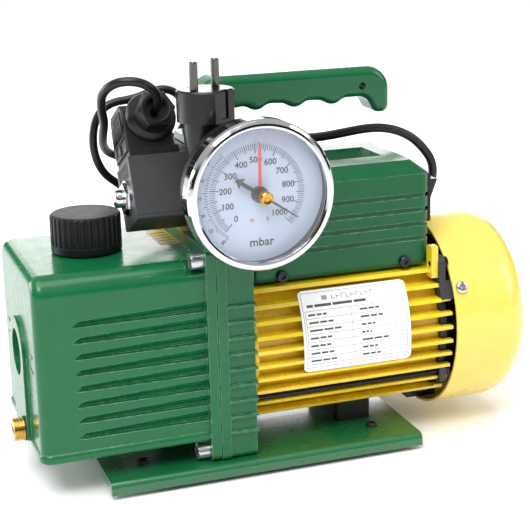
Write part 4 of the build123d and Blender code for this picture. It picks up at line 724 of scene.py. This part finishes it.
mesh_object("connector_ribs", ribs, "pump", "black_plastic")
bars = bmesh.new()
for k in range(7):
    raised(bars, COIL_FACE, (-10.9 + 3.2 * k, -9.4 + 3.2 * k), (12.2, 16.8), 0.55)
raised(bars, COIL_FACE, (-11.2, 10.6), (10.7, 11.5), 0.5)
raised(bars, COIL_FACE, (-11.2, 10.6), (17.4, 18.2), 0.5)
mesh_object("coil_bars", bars, "pump", "charcoal_plastic")


# ---- fin ends in front of the fan cover ----------------------------------------------------------
AXIS_Z = 0.0725
FIN_HALF, FIN_STEP, FIN_START, FIN_ROWS = 0.0011, 0.00875, 0.0045, 5
FIN_TIP_R, FIN_ROOT_R, FIN_X0, FIN_RUN = 0.0610, 0.0567, 0.1178, 0.0068
fin_ends = bmesh.new()
for row in range(FIN_ROWS):
    for up in (-1, 1):
        level = up * (FIN_START + FIN_STEP * row)
        inner = (FIN_ROOT_R ** 2 - level ** 2) ** 0.5
        outer = (FIN_TIP_R ** 2 - (abs(level) + FIN_HALF) ** 2) ** 0.5
        low, high = AXIS_Z + level - FIN_HALF, AXIS_Z + level + FIN_HALF
        for side in (-1, 1):
            y0, y1 = sorted((side * inner, side * outer))
            slab(fin_ends, [(FIN_X0, y0, low), (FIN_X0, y1, low), (FIN_X0, y1, high), (FIN_X0, y0, high)],
                 (1, 0, 0), FIN_RUN)
mesh_object("fin_ends", fin_ends, "pump", "yellow_cast")


# ---- rating label on the fins --------------------------------------------------------------------
# Label: radius over the fin tips, thickness of sheet and print, ends along the pump, low and top angles in
# degrees, and corner radius.
LABEL_R = 0.06115
LABEL_T, PRINT_T = 0.00018, 0.00005
LABEL_X0, LABEL_X1, LABEL_LOW, LABEL_TOP, LABEL_CORNER = 0.0235, 0.0950, -11.0, 37.0, 0.003


def on_fins(x, angle, lift):
    """Point over the fin tips on the gauge side, angle in degrees above the horizontal."""
    a = radians(angle)
    return Vector((x, -(LABEL_R + lift) * cos(a), AXIS_Z + (LABEL_R + lift) * sin(a)))


def thin_sheet(bm, rows):
    """Closes rows of (lower points, upper points) into one thin sheet."""
    for (l0, h0), (l1, h1) in zip(rows, rows[1:]):
        for c in range(len(l0) - 1):
            bm.faces.new((l0[c], l0[c + 1], l1[c + 1], l1[c]))
            bm.faces.new((h0[c], h0[c + 1], h1[c + 1], h1[c]))
        bm.faces.new((l0[0], l1[0], h1[0], h0[0]))
        bm.faces.new((l0[-1], l1[-1], h1[-1], h0[-1]))
    for low, high in (rows[0], rows[-1]):
        for c in range(len(low) - 1):
            bm.faces.new((low[c], low[c + 1], high[c + 1], high[c]))


def sheet_row(bm, xs, angle, lift, thick):
    """Lower and upper points at one angle, for thin_sheet."""
    return ([bm.verts.new(on_fins(x, angle, lift)) for x in xs],
            [bm.verts.new(on_fins(x, angle, lift + thick)) for x in xs])


def print_patch(bm, x0, x1, a0, a1, steps=1):
    """Printed patch on the label, between two places along the pump and two angles."""
    angles = [a0 + (a1 - a0) * k / steps for k in range(steps + 1)]
    thin_sheet(bm, [sheet_row(bm, (x0, x1), angle, LABEL_T, PRINT_T) for angle in angles])


def rating_label():
    """White label with rounded corners, a ruled frame and plain bars in place of words.

    Places along the pump are in metres, heights on the label are angles in degrees.
    """
    sheet = bmesh.new()
    steps, columns = 40, 12
    rows = []
    for k in range(steps + 1):
        angle = LABEL_LOW + (LABEL_TOP - LABEL_LOW) * k / steps
        edge = min(angle - LABEL_LOW, LABEL_TOP - angle) * pi / 180 * LABEL_R
        inset = 0.0
        if edge < LABEL_CORNER:
            inset = LABEL_CORNER - (LABEL_CORNER ** 2 - (LABEL_CORNER - edge) ** 2) ** 0.5
        width = LABEL_X1 - LABEL_X0 - 2 * inset
        xs = [LABEL_X0 + inset + width * c / columns for c in range(columns + 1)]
        rows.append(sheet_row(sheet, xs, angle, 0.0, LABEL_T))
    thin_sheet(sheet, rows)
    mesh_object("rating_label", sheet, "pump", "label_white", smooth=25)
    lines = bmesh.new()
    rule_width, rule_rise = 0.0003, 0.28
    column_x = (0.0262, 0.0560, 0.0922)
    frame_x0, frame_x1, frame_low = 0.0250, 0.0937, -8.6
    rows = [24.5 - 4.45 * k for k in range(8)]
    for angle in rows:
        print_patch(lines, column_x[0], 0.0925, angle, angle + rule_rise)
    for x in column_x:
        print_patch(lines, x, x + rule_width, rows[-1], rows[0], steps=20)
    for angle in (frame_low, 35.2):
        print_patch(lines, frame_x0, frame_x1, angle, angle + rule_rise)
    for x in (frame_x0, 0.0934):
        print_patch(lines, x, x + rule_width, frame_low, 35.4, steps=24)
    mesh_object("label_rules", lines, "pump", "label_grey")
    bars = bmesh.new()
    left_x, right_x, word_gap = 0.0280, 0.0620, 0.0009
    # Lengths of the bars left and right in each row, in mm; each is split into three words.
    lengths = ((11, 12), (15, 14), (20, 8), (13, 5), (12, 17), (14, 9), (16, 11))
    for rule, (left, right) in zip(rows, lengths):
        top = rule - 1.3
        for start, length in ((left_x, left), (right_x, right)):
            used = 0.0
            for share in (0.42, 0.30, 0.22):
                run = length * MM * share
                print_patch(bars, start + used, start + used + run, top - 1.35, top - 0.25)
                used += run + word_gap
    for start, run in ((0.0280, 0.004), (0.0330, 0.011), (0.0450, 0.013), (0.0590, 0.008)):
        print_patch(bars, start, start + run, 26.7, 28.3)
    mesh_object("label_bars", bars, "pump", "label_ink")
    heading = bmesh.new()
    heading_low, heading_top = 30.4, 33.0
    for k in range(9):
        x = 0.0450 + 0.0032 * k
        print_patch(heading, x, x + 0.0005, heading_low, heading_top, steps=2)
        print_patch(heading, x, x + 0.0022, heading_low + 1.15 * (k % 3), 30.85 + 1.15 * (k % 3))
    print_patch(heading, 0.0385, 0.0420, heading_low, heading_top, steps=3)
    mesh_object("label_heading", heading, "pump", "label_grey")


rating_label()


# ---- labels on top of the casing and its rim -----------------------------------------------------
# (name, x0, x1, y0, y1, height) of the two labels, in metres.
TOP_LABELS = (("casing_label", -0.0495, -0.0372, -0.008, 0.031, 0.1370),
              ("rim_label", -0.0362, -0.0312, -0.010, 0.028, 0.1450))
TOP_LABEL_T, BAR_COUNT, BAR_WIDTH, BAR_INSET, BAR_MARGIN = 0.00015, 5, 0.0016, 0.0012, 0.003


def flat_patch(bm, x0, x1, y0, y1, z, thickness):
    """Level printed patch at height z."""
    slab(bm, [(x0, y0, z), (x1, y0, z), (x1, y1, z), (x0, y1, z)], (0, 0, 1), thickness)


for name, x0, x1, y0, y1, z in TOP_LABELS:
    bm = bmesh.new()
    flat_patch(bm, x0, x1, y0, y1, z, TOP_LABEL_T)
    mesh_object(name, bm, "pump", "label_yellow")
    bm = bmesh.new()
    for k in range(BAR_COUNT):
        y = y0 + BAR_MARGIN + (y1 - y0 - 2 * BAR_MARGIN) * k / BAR_COUNT
        flat_patch(bm, x0 + BAR_INSET, x1 - BAR_INSET, y, y + BAR_WIDTH, z + TOP_LABEL_T, PRINT_T)
    mesh_object(name + "_bars", bm, "pump", "label_ink")
